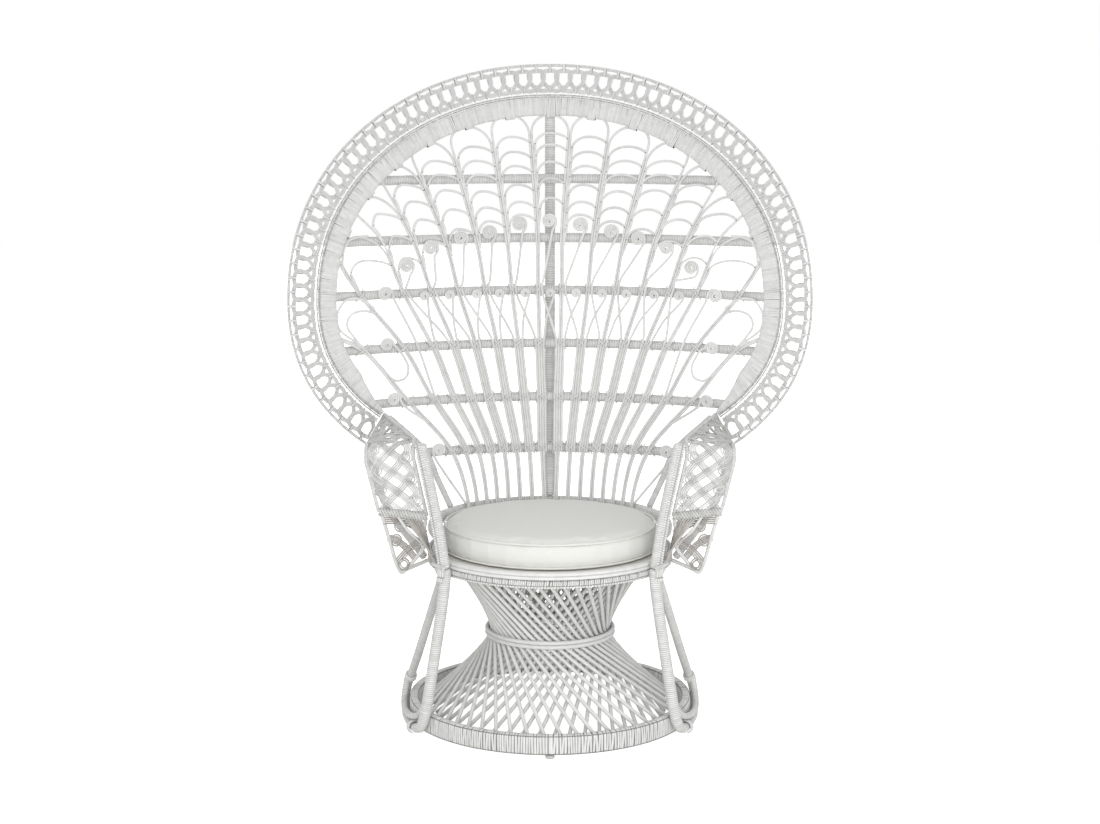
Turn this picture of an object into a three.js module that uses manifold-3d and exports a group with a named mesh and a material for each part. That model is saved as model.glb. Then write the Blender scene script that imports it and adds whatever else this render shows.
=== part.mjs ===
import * as THREE from 'three';
import { mergeVertices } from 'three/addons/utils/BufferGeometryUtils.js';
import Module from 'manifold-3d';

// Peacock chair of painted rattan. Millimetres, +Z up, +Y towards the back, and +X and the
// names' left and right as seen from the front. Everything is drawn round the pedestal's
// axis, and the whole chair is moved at the end so that its box stands over the origin.

const wasm = await Module();
wasm.setup();

const fit = 0.3; // gap kept between pieces that touch
const caneWidth = 9.2; // thickness of a single round cane
const rodWidth = 9; // thickness of a thin wrapped rod

const glide = { radius: 10, height: 7.7, count: 4, sides: 10 };

const base = { outerRadius: 327, wall: 22, height: 46, cornerShare: 0.25, steps: 32 };

const pedestal = {
  canes: 48,
  caneFlat: 7.6, // thickness of a cane through the layer
  layerStep: 11.7, // from one layer to the other at the waist
  waistHeight: 205.5, // where the canes are drawn in tightest
  waistRadius: 151, // to the outside of the waist hoops
  headHoopHeight: 15.2, // of the hoop on top of the ring that gathers the cane heads
  headGap: 42, // from the inside of the seat hoop to the outer canes' heads
  footGap: 6, // and from the inside of the base hoop to their feet
  footHeight: 26,
  upperTwist: 40, // degrees from head to waist
  lowerTwist: 49, // degrees from waist to foot
  waistClearance: 4, // of the canes inside the waist hoops, where they part again
  hoopWidth: 9.6, // thickness of one waist hoop
};

const seat = {
  outerRadius: 282,
  wall: 24,
  hoopBottom: 369,
  hoopTop: 387.7,
  rimWall: 20,
  rimTop: 405,
  slatWidth: 34,
  slatThickness: 13,
  slatSpacing: 130,
  deckThickness: 8,
  deckTop: 400.7,
  steps: 32,
};

const cushion = {
  clearance: 4.5, // from the stakes round its back
  sideHeight: 58, // floor of the cushion to its top seam
  crown: 9, // rise of the top over the seam
  swell: 3, // how far the side stands out between its seams
  edgeRadius: 10,
  dimple: 1.6, // fall of the underside towards its seam
  steps: 32,
};

const rail = { depth: 20, height: 28, top: 464, straightTo: 112, steps: 26, sides: 6 };

const leg = {
  poleRadius: 13,
  rearRadius: 10,
  elbowRadius: 9.3,
  headAngle: 52, // degrees from the front of the seat hoop
  rearHeadAngle: 66,
  footAngle: 57,
  rearFootAngle: 97,
  headRise: 3.5, // from the top of the seat hoop to the head of the leg
  headTilt: 0.014, // of the head's flat end, as a slope outwards
  rearHeadHeight: 366,
  elbowHeight: 19,
  elbowShares: [0.2, 0.5, 0.8], // of the way round the elbow
  thinShares: [0.32, 0.46, 0.6, 0.7], // of the path, where the pole thins and thickens again
  floorGap: 1.5,
  steps: 25,
  sides: 7,
};

const fan = {
  footSetback: 1, // from the middle of the rail to where the leaning back would cross it
  footDrop: 4, // and from the top of the rail down to there
  lean: 8.5, // degrees
  bowReach: 314.4, // how deep and how wide the back is bowed forward at its sides
  bowWidth: 419.2,
  halfWidth: 609,
  middleZ: 960, // height of the widest place
  crownHeight: 542, // from there to the top
  fallDepth: 478, // and down, if the outline were closed
  squareness: 2.15, // exponent of the outline: 2 is an ellipse
  endAngle: 128.5, // degrees from the top, where the border ends at the arms
};

const border = {
  seam: 1.1, // gap from the ring of loops to the rims beside it
  outerRim: 7.6, // widths, from the outside in
  loops: 63.6,
  innerRim: 9.4,
  band: 42.5,
  rimThickness: 8,
  loopThickness: 7,
  bandThickness: 16,
  rimShares: [[0, 0], [0.5, 1], [1, 0], [0.5, -1]], // corners of a rim's section
  bandShares: [[0, 0], [0.1, 1], [0.9, 1], [1, 0], [0.9, -1], [0.1, -1]], // and of the band's
  bandTip: 9, // width of the band at its lower ends
  taperLength: 135,
  holes: 40,
  holeOuterShare: 0.22, // of the loops' width
  holeInnerShare: 0.7,
  holeWidthShare: 0.6, // of the pitch
};

const crossRod = {
  radius: 12,
  // Heights of the six rods from the top, as shares of the way from the fan's middle height
  // to the band above it, or down to the foot of the fan.
  heightShares: [0.6436, 0.3026, 0, -0.256, -0.514, -0.76],
  gap: 0.8, // between the rods and the backs of the stakes
  lap: 15, // how far a rod runs in behind the band
  sides: 5,
};

const post = { radius: 13, footSetback: 4, headLap: 18, headBend: 50, sides: 8 };

const stake = {
  width: 10.4, // two canes side by side
  depth: 5.6,
  perSide: 8,
  railFirst: 14.2, // along the rail, from the middle to the first stake
  railPitch: 29.6, // and from one to the next
  // Sideways place of the first stake at each cross rod, from one to the next, and the extra
  // of the outermost ones by the square of their place, as shares of the clear half width.
  firstShares: [0, 0.0621, 0.059, 0.0517, 0.0424, 0.0393],
  pitchShares: [0, 0.1541, 0.1324, 0.1067, 0.0877, 0.0645],
  flareShares: [0, 0, 0.0703, 0.029, 0.0103, 0],
  flareCount: 2,
  headShares: [ // sideways place and height where each one meets the band
    [0.1055, 1.0038], [0.3103, 0.9846], [0.5213, 0.9246], [0.7075, 0.8045], [0.8523, 0.6604],
    [0.9516, 0.4563], [0.9992, 0.1993], [0.9806, -0.178],
  ],
  headLap: 8, // how far a head would run in under the band before it is trimmed
  steps: 8,
};

const arch = {
  radius: 2.6,
  rise: 27,
  counts: [6, 7, 7, 6, 5, 4, 2], // between the stakes, from the middle out
  firstShares: [0.9798, 0.9702, 0.903, 0.8117, 0.6868, 0.5187, 0.2978], // heights of the tops
  lastShares: [0.5283, 0.4323, 0.3963, 0.3554, 0.2906, 0.2017, 0.1825],
  endGap: 0.6, // from an arch's end to the stake it lands on
  steps: 4,
  sides: 3,
};

const scroll = {
  radiusShare: 0.0352, // of the clear half width, to the middle of the spiral's cane
  drops: [55, 23, 27, 24, 24, 25, 78], // from the top of the lowest arch to the middle
  turns: 1.25,
  steps: 9,
  innerShare: 0.35, // of its radius, where the spiral ends
  tailRise: 15, // from the middle height of the fan to where the tail meets its stake
  tailFall: 45, // least fall of a tail
  tailTurnShare: 0.12, // of its way across, at half its fall
  lowerShares: [0.7985, 0.7716, 0.5648], // sideways places of those beside the outermost stake
  lowerRises: [4, 5, 2], // and their heights over the cross rods
};

const arm = {
  // The x of a place on the arms counts out from the seat's side.
  outerFront: { x: 126, z: 660 }, // the strip's edges at the front, at the top of the roll
  innerFront: { x: 21, z: 672 },
  outerFoot: { x: 99, z: 514 }, // and at the foot of the drop
  innerFoot: { x: -8, z: 504 },
  frontY: -150,
  rearGap: 1.4, // from the fan's lower end to the bar across the strip's rear
  rollRadius: 34,
  rollSteps: 3,
  rollBarRadius: 8,
  topCells: 5,
  dropCells: 3,
  weaveThickness: 6,
  weaveGap: 1, // from the weave to the rods round it
  holeShare: 0.62, // of a cell
};

const armPole = {
  radius: 12.5,
  top: { x: 3.5, y: -150, z: 668 },
  swayShare: 0.4, // of its height, where it sways inwards
  sway: 3,
  steps: 6,
};

const bracket = {
  drop: 1.9, // from the roll bar to the tops of its rods
  corner: { x: 61, y: -72, z: 356 }, // the lowest corner, below the roll
  bulge: { x: 2, y: -107, z: 425 }, // on its inner edge
  cells: 3,
  weaveEndShare: 0.85, // of the way to the corner
  tieRadius: 5,
  tieAngle: 80, // degrees from the front of the seat hoop, where the tie lands on its middle
};

const brace = {
  radius: 8,
  headShare: 0.2, // of the way forward along the strip's outer edge
  headDrop: 5.4, // from the middle of that edge to the top of the brace
  bend: { x: 101, y: 30, z: 500 },
  footAngle: 78.75, // degrees from the front of the seat hoop, level with its top
};

const strutPole = {
  radius: 8,
  bend: { x: 18, y: 234 }, // at the lowest cross rod
  middle: { x: -14, y: 184, z: 522 },
  footAngle: 60, // degrees from the back of the rail
};

const painted = (shade, roughness) =>
  new THREE.MeshStandardMaterial({ color: shade, roughness, metalness: 0 });
const rattan = painted('#e6e6e5', 0.55);
const peel = painted('#dfdfde', 0.5);
const timber = painted('#d8d6d0', 0.6);
const cloth = painted('#dcdcd7', 0.85);
const rubber = painted('#c9c9c6', 0.7);

const rad = THREE.MathUtils.degToRad;
const vec = (x, y, z) => new THREE.Vector3(x, y, z);
const mix = THREE.MathUtils.lerp;
const range = (n) => Array.from({ length: n }, (_, i) => i);
const around = (radius, angle, z) => vec(radius * Math.sin(angle), -radius * Math.cos(angle), z);

const chair = new THREE.Group();

function add(name, geometry, material) {
  const mesh = new THREE.Mesh(geometry, material);
  mesh.name = name;
  chair.add(mesh);
  return mesh;
}

function volumeOf(points, faces) {
  return faces.reduce((sum, [a, b, c]) => {
    const cross = vec(0, 0, 0).crossVectors(points[b], points[c]);
    return sum + points[a].dot(cross);
  }, 0);
}

// A closed solid from its points and triangles, turned so that it faces outwards.
function solid(points, faces) {
  const flip = volumeOf(points, faces) < 0;
  const geometry = new THREE.BufferGeometry();
  geometry.setAttribute(
    'position',
    new THREE.Float32BufferAttribute(points.flatMap((p) => [p.x, p.y, p.z]), 3),
  );
  geometry.setIndex(faces.flatMap(([a, b, c]) => (flip ? [a, c, b] : [a, b, c])));
  geometry.computeVertexNormals();
  return geometry;
}

// A solid drawn through rings of points: closed on itself, or capped at both ends.
function loft(rings, closed = false) {
  const sides = rings[0].length;
  const points = rings.flat();
  const faces = [];
  const last = closed ? rings.length : rings.length - 1;
  for (let i = 0; i < last; i += 1) {
    const here = i * sides;
    const next = ((i + 1) % rings.length) * sides;
    for (let j = 0; j < sides; j += 1) {
      const k = (j + 1) % sides;
      faces.push([here + j, next + j, next + k], [here + j, next + k, here + k]);
    }
  }
  if (!closed) {
    const end = (rings.length - 1) * sides;
    for (let j = 1; j < sides - 1; j += 1) {
      faces.push([0, j, j + 1], [end, end + j + 1, end + j]);
    }
  }
  return solid(points, faces);
}

function tangents(path) {
  return path.map((p, i) => {
    const before = path[Math.max(i - 1, 0)];
    const after = path[Math.min(i + 1, path.length - 1)];
    return after.clone().sub(before).normalize();
  });
}

// Rings of a round tube along a path. The radius may change from place to place, and ends
// may be given the directions that their faces look along.
function tubeRings(path, radius, sides, ends = {}) {
  const along = tangents(path);
  if (ends.first) along[0] = ends.first;
  if (ends.last) along[along.length - 1] = ends.last;
  let up = (ends.up ?? vec(0, 0, 1)).clone();
  return path.map((p, i) => {
    up.addScaledVector(along[i], -up.dot(along[i]));
    if (up.lengthSq() < Number.EPSILON) up = vec(1, 0, 0).cross(along[i]);
    up.normalize();
    const side = vec(0, 0, 0).crossVectors(along[i], up);
    const width = Array.isArray(radius) ? radius[i] : radius;
    return range(sides).map((j) => {
      const turn = (2 * Math.PI * (j + 0.5)) / sides;
      return p.clone()
        .addScaledVector(up, width * Math.cos(turn))
        .addScaledVector(side, width * Math.sin(turn));
    });
  });
}

const tube = (path, radius, sides, ends) => loft(tubeRings(path, radius, sides, ends));
const upright = { up: vec(0, 1, 0), first: vec(0, 0, 1) };
const down = vec(0, 0, -1);

const smooth = (points, steps) =>
  new THREE.CatmullRomCurve3(points, false, 'centripetal').getSpacedPoints(steps);

// A ring round the pedestal's axis with a section given as [radius, height] corners.
function hoop(section, steps) {
  return loft(
    range(steps).map((i) => section.map(([r, z]) => around(r, (2 * Math.PI * i) / steps, z))),
    true,
  );
}

// A flat band section with its four edges taken off.
function softSection(inner, outer, low, high, cornerShare) {
  const cut = cornerShare * Math.min(outer - inner, high - low);
  return [
    [inner + cut, low], [outer - cut, low], [outer, low + cut], [outer, high - cut],
    [outer - cut, high], [inner + cut, high], [inner, high - cut], [inner, low + cut],
  ];
}

function roundSection(radius, height, width, sides) {
  return range(sides).map((j) => {
    const turn = (2 * Math.PI * j) / sides;
    return [radius + (width / 2) * Math.cos(turn), height + (width / 2) * Math.sin(turn)];
  });
}

function toManifold(geometry) {
  return new wasm.Manifold(new wasm.Mesh({
    numProp: 3,
    vertProperties: new Float32Array(geometry.attributes.position.array),
    triVerts: new Uint32Array(geometry.index.array),
  }));
}

function fromManifold(body) {
  const mesh = body.asOriginal().simplify(fit / 6).getMesh();
  const geometry = new THREE.BufferGeometry();
  geometry.setAttribute('position', new THREE.Float32BufferAttribute(mesh.vertProperties, 3));
  geometry.setIndex(Array.from(mesh.triVerts));
  geometry.computeVertexNormals();
  return geometry;
}

function join(geometries) {
  const bodies = geometries.map(toManifold);
  return fromManifold(bodies.reduce((sum, body) => sum.add(body)));
}

function cut(geometry, ...tools) {
  return fromManifold(tools.reduce((sum, t) => sum.subtract(toManifold(t)), toManifold(geometry)));
}

// Cuts a piece off at a neighbour and keeps its larger side.
function trim(geometry, tool) {
  const sides = toManifold(geometry).subtract(toManifold(tool)).decompose();
  return fromManifold(sides.reduce((best, body) => (body.volume() > best.volume() ? body : best)));
}

// Radii that neighbouring pieces share

const seatInner = seat.outerRadius - seat.wall;
const rimInner = seat.outerRadius - seat.rimWall;
const deckRadius = rimInner * Math.cos(Math.PI / seat.steps) - fit;
const stakeRadius = deckRadius - fit - stake.depth / 2;
const cushionRadius = stakeRadius - stake.depth / 2 - cushion.clearance;
const railRadius = deckRadius / Math.cos(rad(180) / rail.steps)
  + (rail.depth / 2) * Math.cos(Math.PI / rail.sides);
const topRadius = seatInner - pedestal.headGap;
const footRadius = base.outerRadius - base.wall - pedestal.footGap;

// Heights under the seat, from the deck down

const deckBottom = seat.deckTop - seat.deckThickness;
const slatTop = deckBottom - fit;
const slatBottom = slatTop - seat.slatThickness;
const headHoopTop = slatBottom - fit;
const headHoopBottom = headHoopTop - pedestal.headHoopHeight;
const topHeight = headHoopBottom - fit - caneWidth / 2; // middle of the ring of cane heads

// Floor glides and the base hoop

const baseMiddle = base.outerRadius - base.wall / 2;
const baseTop = glide.height + fit + base.height;

for (const i of range(glide.count)) {
  const turn = (2 * Math.PI * i) / glide.count;
  const disc = new THREE.CylinderGeometry(glide.radius, glide.radius, glide.height, glide.sides);
  disc.rotateX(Math.PI / 2);
  disc.deleteAttribute('uv');
  const mesh = add(`foot_glide_${i + 1}`, disc, rubber);
  mesh.position.copy(around(baseMiddle, turn, glide.height / 2));
}

add('base_hoop', hoop(
  softSection(
    base.outerRadius - base.wall, base.outerRadius,
    glide.height + fit, baseTop, base.cornerShare,
  ),
  base.steps,
), rattan);

// Pedestal of two layers of slanting canes

const outerWaist = pedestal.waistRadius - pedestal.hoopWidth - pedestal.waistClearance
  - caneWidth / 2;
const innerShare = 1 - pedestal.layerStep / outerWaist; // of the outer layer's radii

// One layer: its canes lean one way round and hang from a thin ring that gathers their heads.
function caneLayer(sizeShare, sense) {
  const { upperTwist, lowerTwist, waistHeight } = pedestal;
  const half = caneWidth / 2;
  const places = [
    [outerWaist, rad(upperTwist), waistHeight],
    [footRadius, rad(upperTwist + lowerTwist), pedestal.footHeight],
  ].map(([r, turn, z]) => [r * sizeShare, sense * turn, z]);
  const headRadius = topRadius * sizeShare;
  const headTurn = half / headRadius;
  const points = [];
  const faces = [];
  const quad = (p, q, r, s) => faces.push([p, q, r], [p, r, s]);
  const stations = 2 * pedestal.canes;
  for (const i of range(stations)) {
    const turn = (2 * Math.PI * Math.floor(i / 2)) / pedestal.canes + (i % 2 ? headTurn : -headTurn);
    for (const [out, up] of [[1, -1], [1, 1], [-1, 1], [-1, -1]]) {
      const r = headRadius + (out * pedestal.caneFlat) / 2;
      points.push(around(r, turn, topHeight + up * half));
    }
  }
  for (const i of range(stations)) {
    const here = i * 4;
    const next = ((i + 1) % stations) * 4;
    for (const j of range(i % 2 ? 4 : 3)) {
      const k = (j + 1) % 4;
      quad(here + j, here + k, next + k, next + j);
    }
    if (i % 2) continue;
    const start = (Math.PI * i) / pedestal.canes;
    const head = around(headRadius, start, topHeight);
    const path = [head, ...places.map(([r, turn, z]) => around(r, start + turn, z))];
    let above = [here, next, next + 3, here + 3];
    for (const n of range(places.length).map((k) => k + 1)) {
      const p = path[n];
      const out = vec(p.x, p.y, 0).normalize();
      const way = path[Math.min(n + 1, places.length)].clone().sub(path[n - 1]).normalize();
      const side = vec(0, 0, 0).crossVectors(out, way).normalize();
      const face = vec(0, 0, 0).crossVectors(way, side);
      const below = [[1, -1], [1, 1], [-1, 1], [-1, -1]].map(([a, b]) => points.push(p.clone()
        .addScaledVector(face, (a * pedestal.caneFlat) / 2)
        .addScaledVector(side, b * half)) - 1);
      for (const j of range(4)) quad(above[j], above[(j + 1) % 4], below[(j + 1) % 4], below[j]);
      above = below;
    }
    quad(...above);
  }
  return solid(points, faces);
}

add('pedestal_outer_canes', caneLayer(1, 1), rattan);
add('pedestal_inner_canes', caneLayer(innerShare, -1), rattan);

for (const [name, side] of [['waist_hoop_upper', 1], ['waist_hoop_lower', -1]]) {
  add(name, hoop(
    roundSection(
      pedestal.waistRadius - pedestal.hoopWidth / 2,
      pedestal.waistHeight + (side * (pedestal.hoopWidth + fit)) / 2,
      pedestal.hoopWidth, 4,
    ),
    pedestal.canes / 2,
  ), peel);
}

// Seat: head hoop of the pedestal, slats, wrapped apron, rim, woven deck and loose cushion

add('pedestal_head_hoop', hoop(
  softSection(
    topRadius * innerShare - caneWidth / 2, topRadius + caneWidth / 2,
    headHoopBottom, headHoopTop, base.cornerShare,
  ),
  pedestal.canes / 2,
), rattan);

for (const i of range(3)) {
  const y = (i - 1) * seat.slatSpacing;
  const reach = seatInner * Math.cos(Math.PI / seat.steps) - fit;
  const far = Math.abs(y) + seat.slatWidth / 2;
  const length = 2 * Math.sqrt(reach ** 2 - far ** 2);
  const slat = new THREE.BoxGeometry(length, seat.slatWidth, seat.slatThickness);
  slat.deleteAttribute('uv');
  add(['seat_slat_front', 'seat_slat_middle', 'seat_slat_rear'][i], slat, timber)
    .position.set(0, y, (slatTop + slatBottom) / 2);
}

add('seat_hoop', hoop(
  softSection(seatInner, seat.outerRadius, seat.hoopBottom, seat.hoopTop, base.cornerShare),
  seat.steps,
), rattan);

add('seat_rim_hoop', hoop(
  softSection(rimInner, seat.outerRadius, seat.hoopTop + fit, seat.rimTop, base.cornerShare),
  seat.steps,
), rattan);

function disc(radius, low, high, steps) {
  const profile = [[0, low], [radius, low], [radius, high], [0, high]];
  return lathe(profile, steps);
}

function lathe(profile, steps) {
  const geometry = new THREE.LatheGeometry(profile.map(([r, z]) => new THREE.Vector2(r, z)), steps);
  geometry.rotateX(Math.PI / 2);
  geometry.deleteAttribute('uv');
  geometry.deleteAttribute('normal');
  const merged = mergeVertices(geometry, fit / 100);
  const at = merged.attributes.position;
  const points = range(at.count).map((i) => vec(at.getX(i), at.getY(i), at.getZ(i)));
  const faces = [];
  for (let i = 0; i < merged.index.count; i += 3) {
    const face = [0, 1, 2].map((k) => merged.index.getX(i + k));
    if (new Set(face).size === 3) faces.push(face);
  }
  return solid(points, faces);
}

add('seat_deck', disc(deckRadius, deckBottom, seat.deckTop, seat.steps), timber);

// The cushion swells between its seams, rounds over its edges and crowns in the middle.
function cushionProfile() {
  const low = seat.deckTop + fit;
  const seam = low + cushion.sideHeight;
  const e = cushion.edgeRadius;
  const profile = [[0, low], [cushionRadius - e, low]];
  const side = range(4).map((i) => {
    const share = i / 3;
    const out = cushion.swell * Math.sin(Math.PI * share);
    return [
      cushionRadius - cushion.swell + out - (i === 0 ? cushion.dimple : 0),
      mix(low + e / 2, seam - e / 4, share),
    ];
  });
  profile.push(...side);
  const top = range(5).map((i) => {
    const share = (i + 1) / 5;
    const r = (cushionRadius - cushion.swell - e / 4) * (1 - share);
    return [r, seam + cushion.crown * (1 - (1 - share) ** 3)];
  });
  profile.push([cushionRadius - cushion.swell - e / 4, seam], ...top);
  return profile;
}

add('seat_cushion', lathe(cushionProfile(), cushion.steps), cloth);

// The leaning, bowed surface that the whole back lies on

const leanRise = Math.tan(rad(fan.lean));
const fanFoot = rail.top - fan.footDrop;

function fanY(x, z) {
  const bow = fan.bowReach * (Math.hypot(1, x / fan.bowWidth) - 1);
  return railRadius + fan.footSetback + (z - fanFoot) * leanRise - bow;
}

// The direction out of the front of that surface.
function fanNormal(x) {
  const slope = (-fan.bowReach * x) / (fan.bowWidth ** 2 * Math.hypot(1, x / fan.bowWidth));
  return vec(slope, -1, leanRise).normalize();
}

const onFan = (x, z, out = 0) => vec(x, fanY(x, z), z).addScaledVector(fanNormal(x), out);

// The outline of the fan, by its angle from the top.
class FanOutline extends THREE.Curve {
  constructor(endAngle) {
    super();
    this.endAngle = endAngle;
  }

  getPoint(t, target = vec(0, 0, 0)) {
    const turn = mix(-this.endAngle, this.endAngle, t);
    const tall = Math.cos(turn) > 0 ? fan.crownHeight : fan.fallDepth;
    const reach = (Math.abs(Math.sin(turn) / fan.halfWidth) ** fan.squareness
      + Math.abs(Math.cos(turn) / tall) ** fan.squareness) ** (-1 / fan.squareness);
    return target.copy(onFan(reach * Math.sin(turn), fan.middleZ + reach * Math.cos(turn)));
  }
}

const outline = new FanOutline(rad(fan.endAngle));
outline.arcLengthDivisions = 800;
const outlineLength = outline.getLength();

// A place on the border: a share of the way round, an inset from the outline, and how far
// it stands out of the surface.
function onBorder(share, inset, out) {
  const p = outline.getPointAt(share);
  const way = outline.getTangentAt(share);
  const inward = vec(0, 0, 0).crossVectors(fanNormal(p.x), way).normalize();
  const q = p.clone().addScaledVector(inward, -inset);
  return onFan(q.x, q.z, out);
}

const insets = {};
insets.outerRim = [0, border.outerRim];
insets.loops = [border.outerRim + border.seam, border.outerRim + border.seam + border.loops];
insets.innerRim = [insets.loops[1] + border.seam, insets.loops[1] + border.seam + border.innerRim];
insets.band = [insets.innerRim[1] + fit, insets.innerRim[1] + fit + border.band];

// A strip of the border between two insets, its section given as [across, out] shares of
// its width and half its thickness.
function borderStrip(insetsAt, thickness, sectionShares, grow = 0) {
  const rings = range(border.holes + 1).map((i) => {
    const share = i / border.holes;
    const [a, b] = insetsAt(share);
    return sectionShares.map(([across, out]) => onBorder(
      share, mix(a - grow, b + grow, across), out * (thickness / 2 + grow),
    ));
  });
  return loft(rings);
}

// The clear space inside the band, which the rods, stakes and arches share out.
const clearHalf = fan.halfWidth - insets.band[1];
const clearTall = fan.crownHeight - insets.band[1];
const heightAt = (share) =>
  fan.middleZ + share * (share > 0 ? clearTall : fan.middleZ - fanFoot);
const rodHeights = crossRod.heightShares.map(heightAt);
const lowestRod = rodHeights[rodHeights.length - 1];

function bandInsets(share) {
  const fromEnd = Math.min(share, 1 - share) * outlineLength;
  const full = Math.min(1, fromEnd / border.taperLength);
  return [insets.band[0], insets.band[0] + mix(border.bandTip, border.band, full)];
}

const { rimShares, bandShares } = border;
add('fan_outer_rim', borderStrip(() => insets.outerRim, border.rimThickness, rimShares), peel);
add('fan_inner_rim', borderStrip(() => insets.innerRim, border.rimThickness, rimShares), peel);
add('fan_main_band', borderStrip(bandInsets, border.bandThickness, bandShares), rattan);
const bandKeepOut = borderStrip(bandInsets, border.bandThickness, bandShares, fit);

// The ring of loops: one curved band with a hole for each loop.
function loopBorder() {
  const [a, b] = insets.loops;
  const holeA = mix(a, b, border.holeOuterShare);
  const holeB = mix(a, b, border.holeInnerShare);
  const points = [];
  const faces = [];
  const columns = range(2 * border.holes + 2).map((i) => {
    const pair = Math.floor(i / 2);
    const within = (i % 2 === 0 ? -1 : 1) * (1 - border.holeWidthShare) / 2;
    return THREE.MathUtils.clamp((pair + within) / border.holes, 0, 1);
  });
  for (const share of columns) {
    for (const inset of [a, holeA, holeB, b]) {
      for (const side of [1, -1]) {
        points.push(onBorder(share, inset, (side * border.loopThickness) / 2));
      }
    }
  }
  const at = (column, row, side) => column * 8 + row * 2 + side;
  const quad = (p, q, r, s) => faces.push([p, q, r], [p, r, s]);
  for (const c of range(columns.length - 1)) {
    const open = c % 2 === 1;
    for (const row of range(3)) {
      if (open && row === 1) continue;
      quad(at(c, row, 0), at(c + 1, row, 0), at(c + 1, row + 1, 0), at(c, row + 1, 0));
      quad(at(c, row, 1), at(c, row + 1, 1), at(c + 1, row + 1, 1), at(c + 1, row, 1));
    }
    quad(at(c, 0, 0), at(c, 0, 1), at(c + 1, 0, 1), at(c + 1, 0, 0));
    quad(at(c, 3, 0), at(c + 1, 3, 0), at(c + 1, 3, 1), at(c, 3, 1));
    if (open) {
      quad(at(c, 1, 0), at(c + 1, 1, 0), at(c + 1, 1, 1), at(c, 1, 1));
      quad(at(c, 2, 0), at(c, 2, 1), at(c + 1, 2, 1), at(c + 1, 2, 0));
      quad(at(c, 1, 0), at(c, 1, 1), at(c, 2, 1), at(c, 2, 0));
      quad(at(c + 1, 1, 0), at(c + 1, 2, 0), at(c + 1, 2, 1), at(c + 1, 1, 1));
    }
  }
  const end = columns.length - 1;
  for (const row of range(3)) {
    quad(at(0, row, 0), at(0, row + 1, 0), at(0, row + 1, 1), at(0, row, 1));
    quad(at(end, row, 0), at(end, row, 1), at(end, row + 1, 1), at(end, row + 1, 0));
  }
  return solid(points, faces);
}

add('fan_loop_border', loopBorder(), rattan);

// Legs: a wrapped pole from the seat hoop to the floor, round an elbow and up again

const legHead = seat.hoopTop + leg.headRise;
const poleReach = seat.outerRadius + fit + leg.poleRadius;
const elbowReach = base.outerRadius + fit + leg.elbowRadius;

function legPath(side) {
  const place = (r, degrees, z) => around(r, side * rad(degrees), z);
  const low = leg.floorGap + leg.elbowRadius;
  const elbow = leg.elbowShares.map((share) => place(
    elbowReach, mix(leg.footAngle, leg.rearFootAngle, share), mix(low, leg.elbowHeight, share),
  ));
  const rearReach = seat.outerRadius + fit + leg.rearRadius;
  const halfUp = (top) => (leg.elbowHeight + top) / 2;
  return smooth([
    place(poleReach, leg.headAngle, legHead),
    place(poleReach, leg.headAngle, seat.hoopBottom),
    place((poleReach + elbowReach) / 2, (leg.headAngle + leg.footAngle) / 2, halfUp(seat.hoopBottom)),
    place(elbowReach + leg.poleRadius / 3, leg.footAngle, low + leg.poleRadius * 2),
    ...elbow,
    place(elbowReach + leg.rearRadius / 4, leg.rearFootAngle, leg.elbowHeight + leg.poleRadius * 2),
    place((elbowReach + rearReach) / 2, (leg.rearFootAngle + leg.rearHeadAngle) / 2,
      halfUp(leg.rearHeadHeight)),
    place(rearReach, leg.rearHeadAngle, leg.rearHeadHeight),
  ], leg.steps);
}

function legLoop(side) {
  const path = legPath(side);
  const first = vec(side * leg.headTilt, -leg.headTilt / 2, 1);
  return tube(path, legRadii(path.length), leg.sides, { ...upright, first });
}

function legRadii(count) {
  return range(count).map((i) => {
    const share = i / (count - 1);
    const [a, b, c, d] = leg.thinShares;
    const thinned = mix(leg.poleRadius, leg.elbowRadius, THREE.MathUtils.smoothstep(share, a, b));
    return mix(thinned, leg.rearRadius, THREE.MathUtils.smoothstep(share, c, d));
  });
}

// A place whose x counts out from the seat's side.
const beside = (side, { x, y, z }) => vec(side * (seat.outerRadius + x), y, z);

function armPostPath(side) {
  const foot = around(poleReach, side * rad(leg.headAngle), legHead + fit);
  const head = beside(side, armPole.top);
  const middle = foot.clone().lerp(head, armPole.swayShare);
  middle.x -= side * armPole.sway;
  return smooth([foot, middle, head], armPole.steps);
}

const armPost = (side, grow = 0) =>
  tube(armPostPath(side), armPole.radius + grow, leg.sides, upright);

// Back rail: a wrapped rail half way round the seat, its ends against the arm posts

const railMiddle = rail.top - rail.height / 2;

// The place at a height on a path that climbs.
function placeAt(path, z) {
  const above = path.findIndex((p, i) => i > 0 && p.z >= z);
  const i = above < 0 ? path.length - 1 : above;
  const [low, high] = [path[i - 1], path[i]];
  return low.clone().lerp(high, (z - low.z) / (high.z - low.z));
}

function railRings() {
  const end = placeAt(armPostPath(1), railMiddle);
  const reach = Math.atan2(end.x, end.y);
  const turnIn = rad(rail.straightTo);
  return range(rail.steps + 1).map((i) => {
    const turn = mix(-reach, reach, i / rail.steps);
    const outward = Math.max(0, Math.abs(turn) - turnIn) / (reach - turnIn);
    const radius = mix(railRadius, Math.hypot(end.x, end.y), outward);
    return range(rail.sides).map((j) => {
      const angle = (2 * Math.PI * (j + 0.5)) / rail.sides;
      const r = radius + (rail.depth / 2) * Math.cos(angle);
      return vec(r * Math.sin(turn), r * Math.cos(turn), railMiddle + (rail.height / 2) * Math.sin(angle));
    });
  });
}

add('back_rail', cut(loft(railRings()), armPost(-1, fit), armPost(1, fit)), rattan);

// Struts that carry the lower ends of the fan on the back rail

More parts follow.
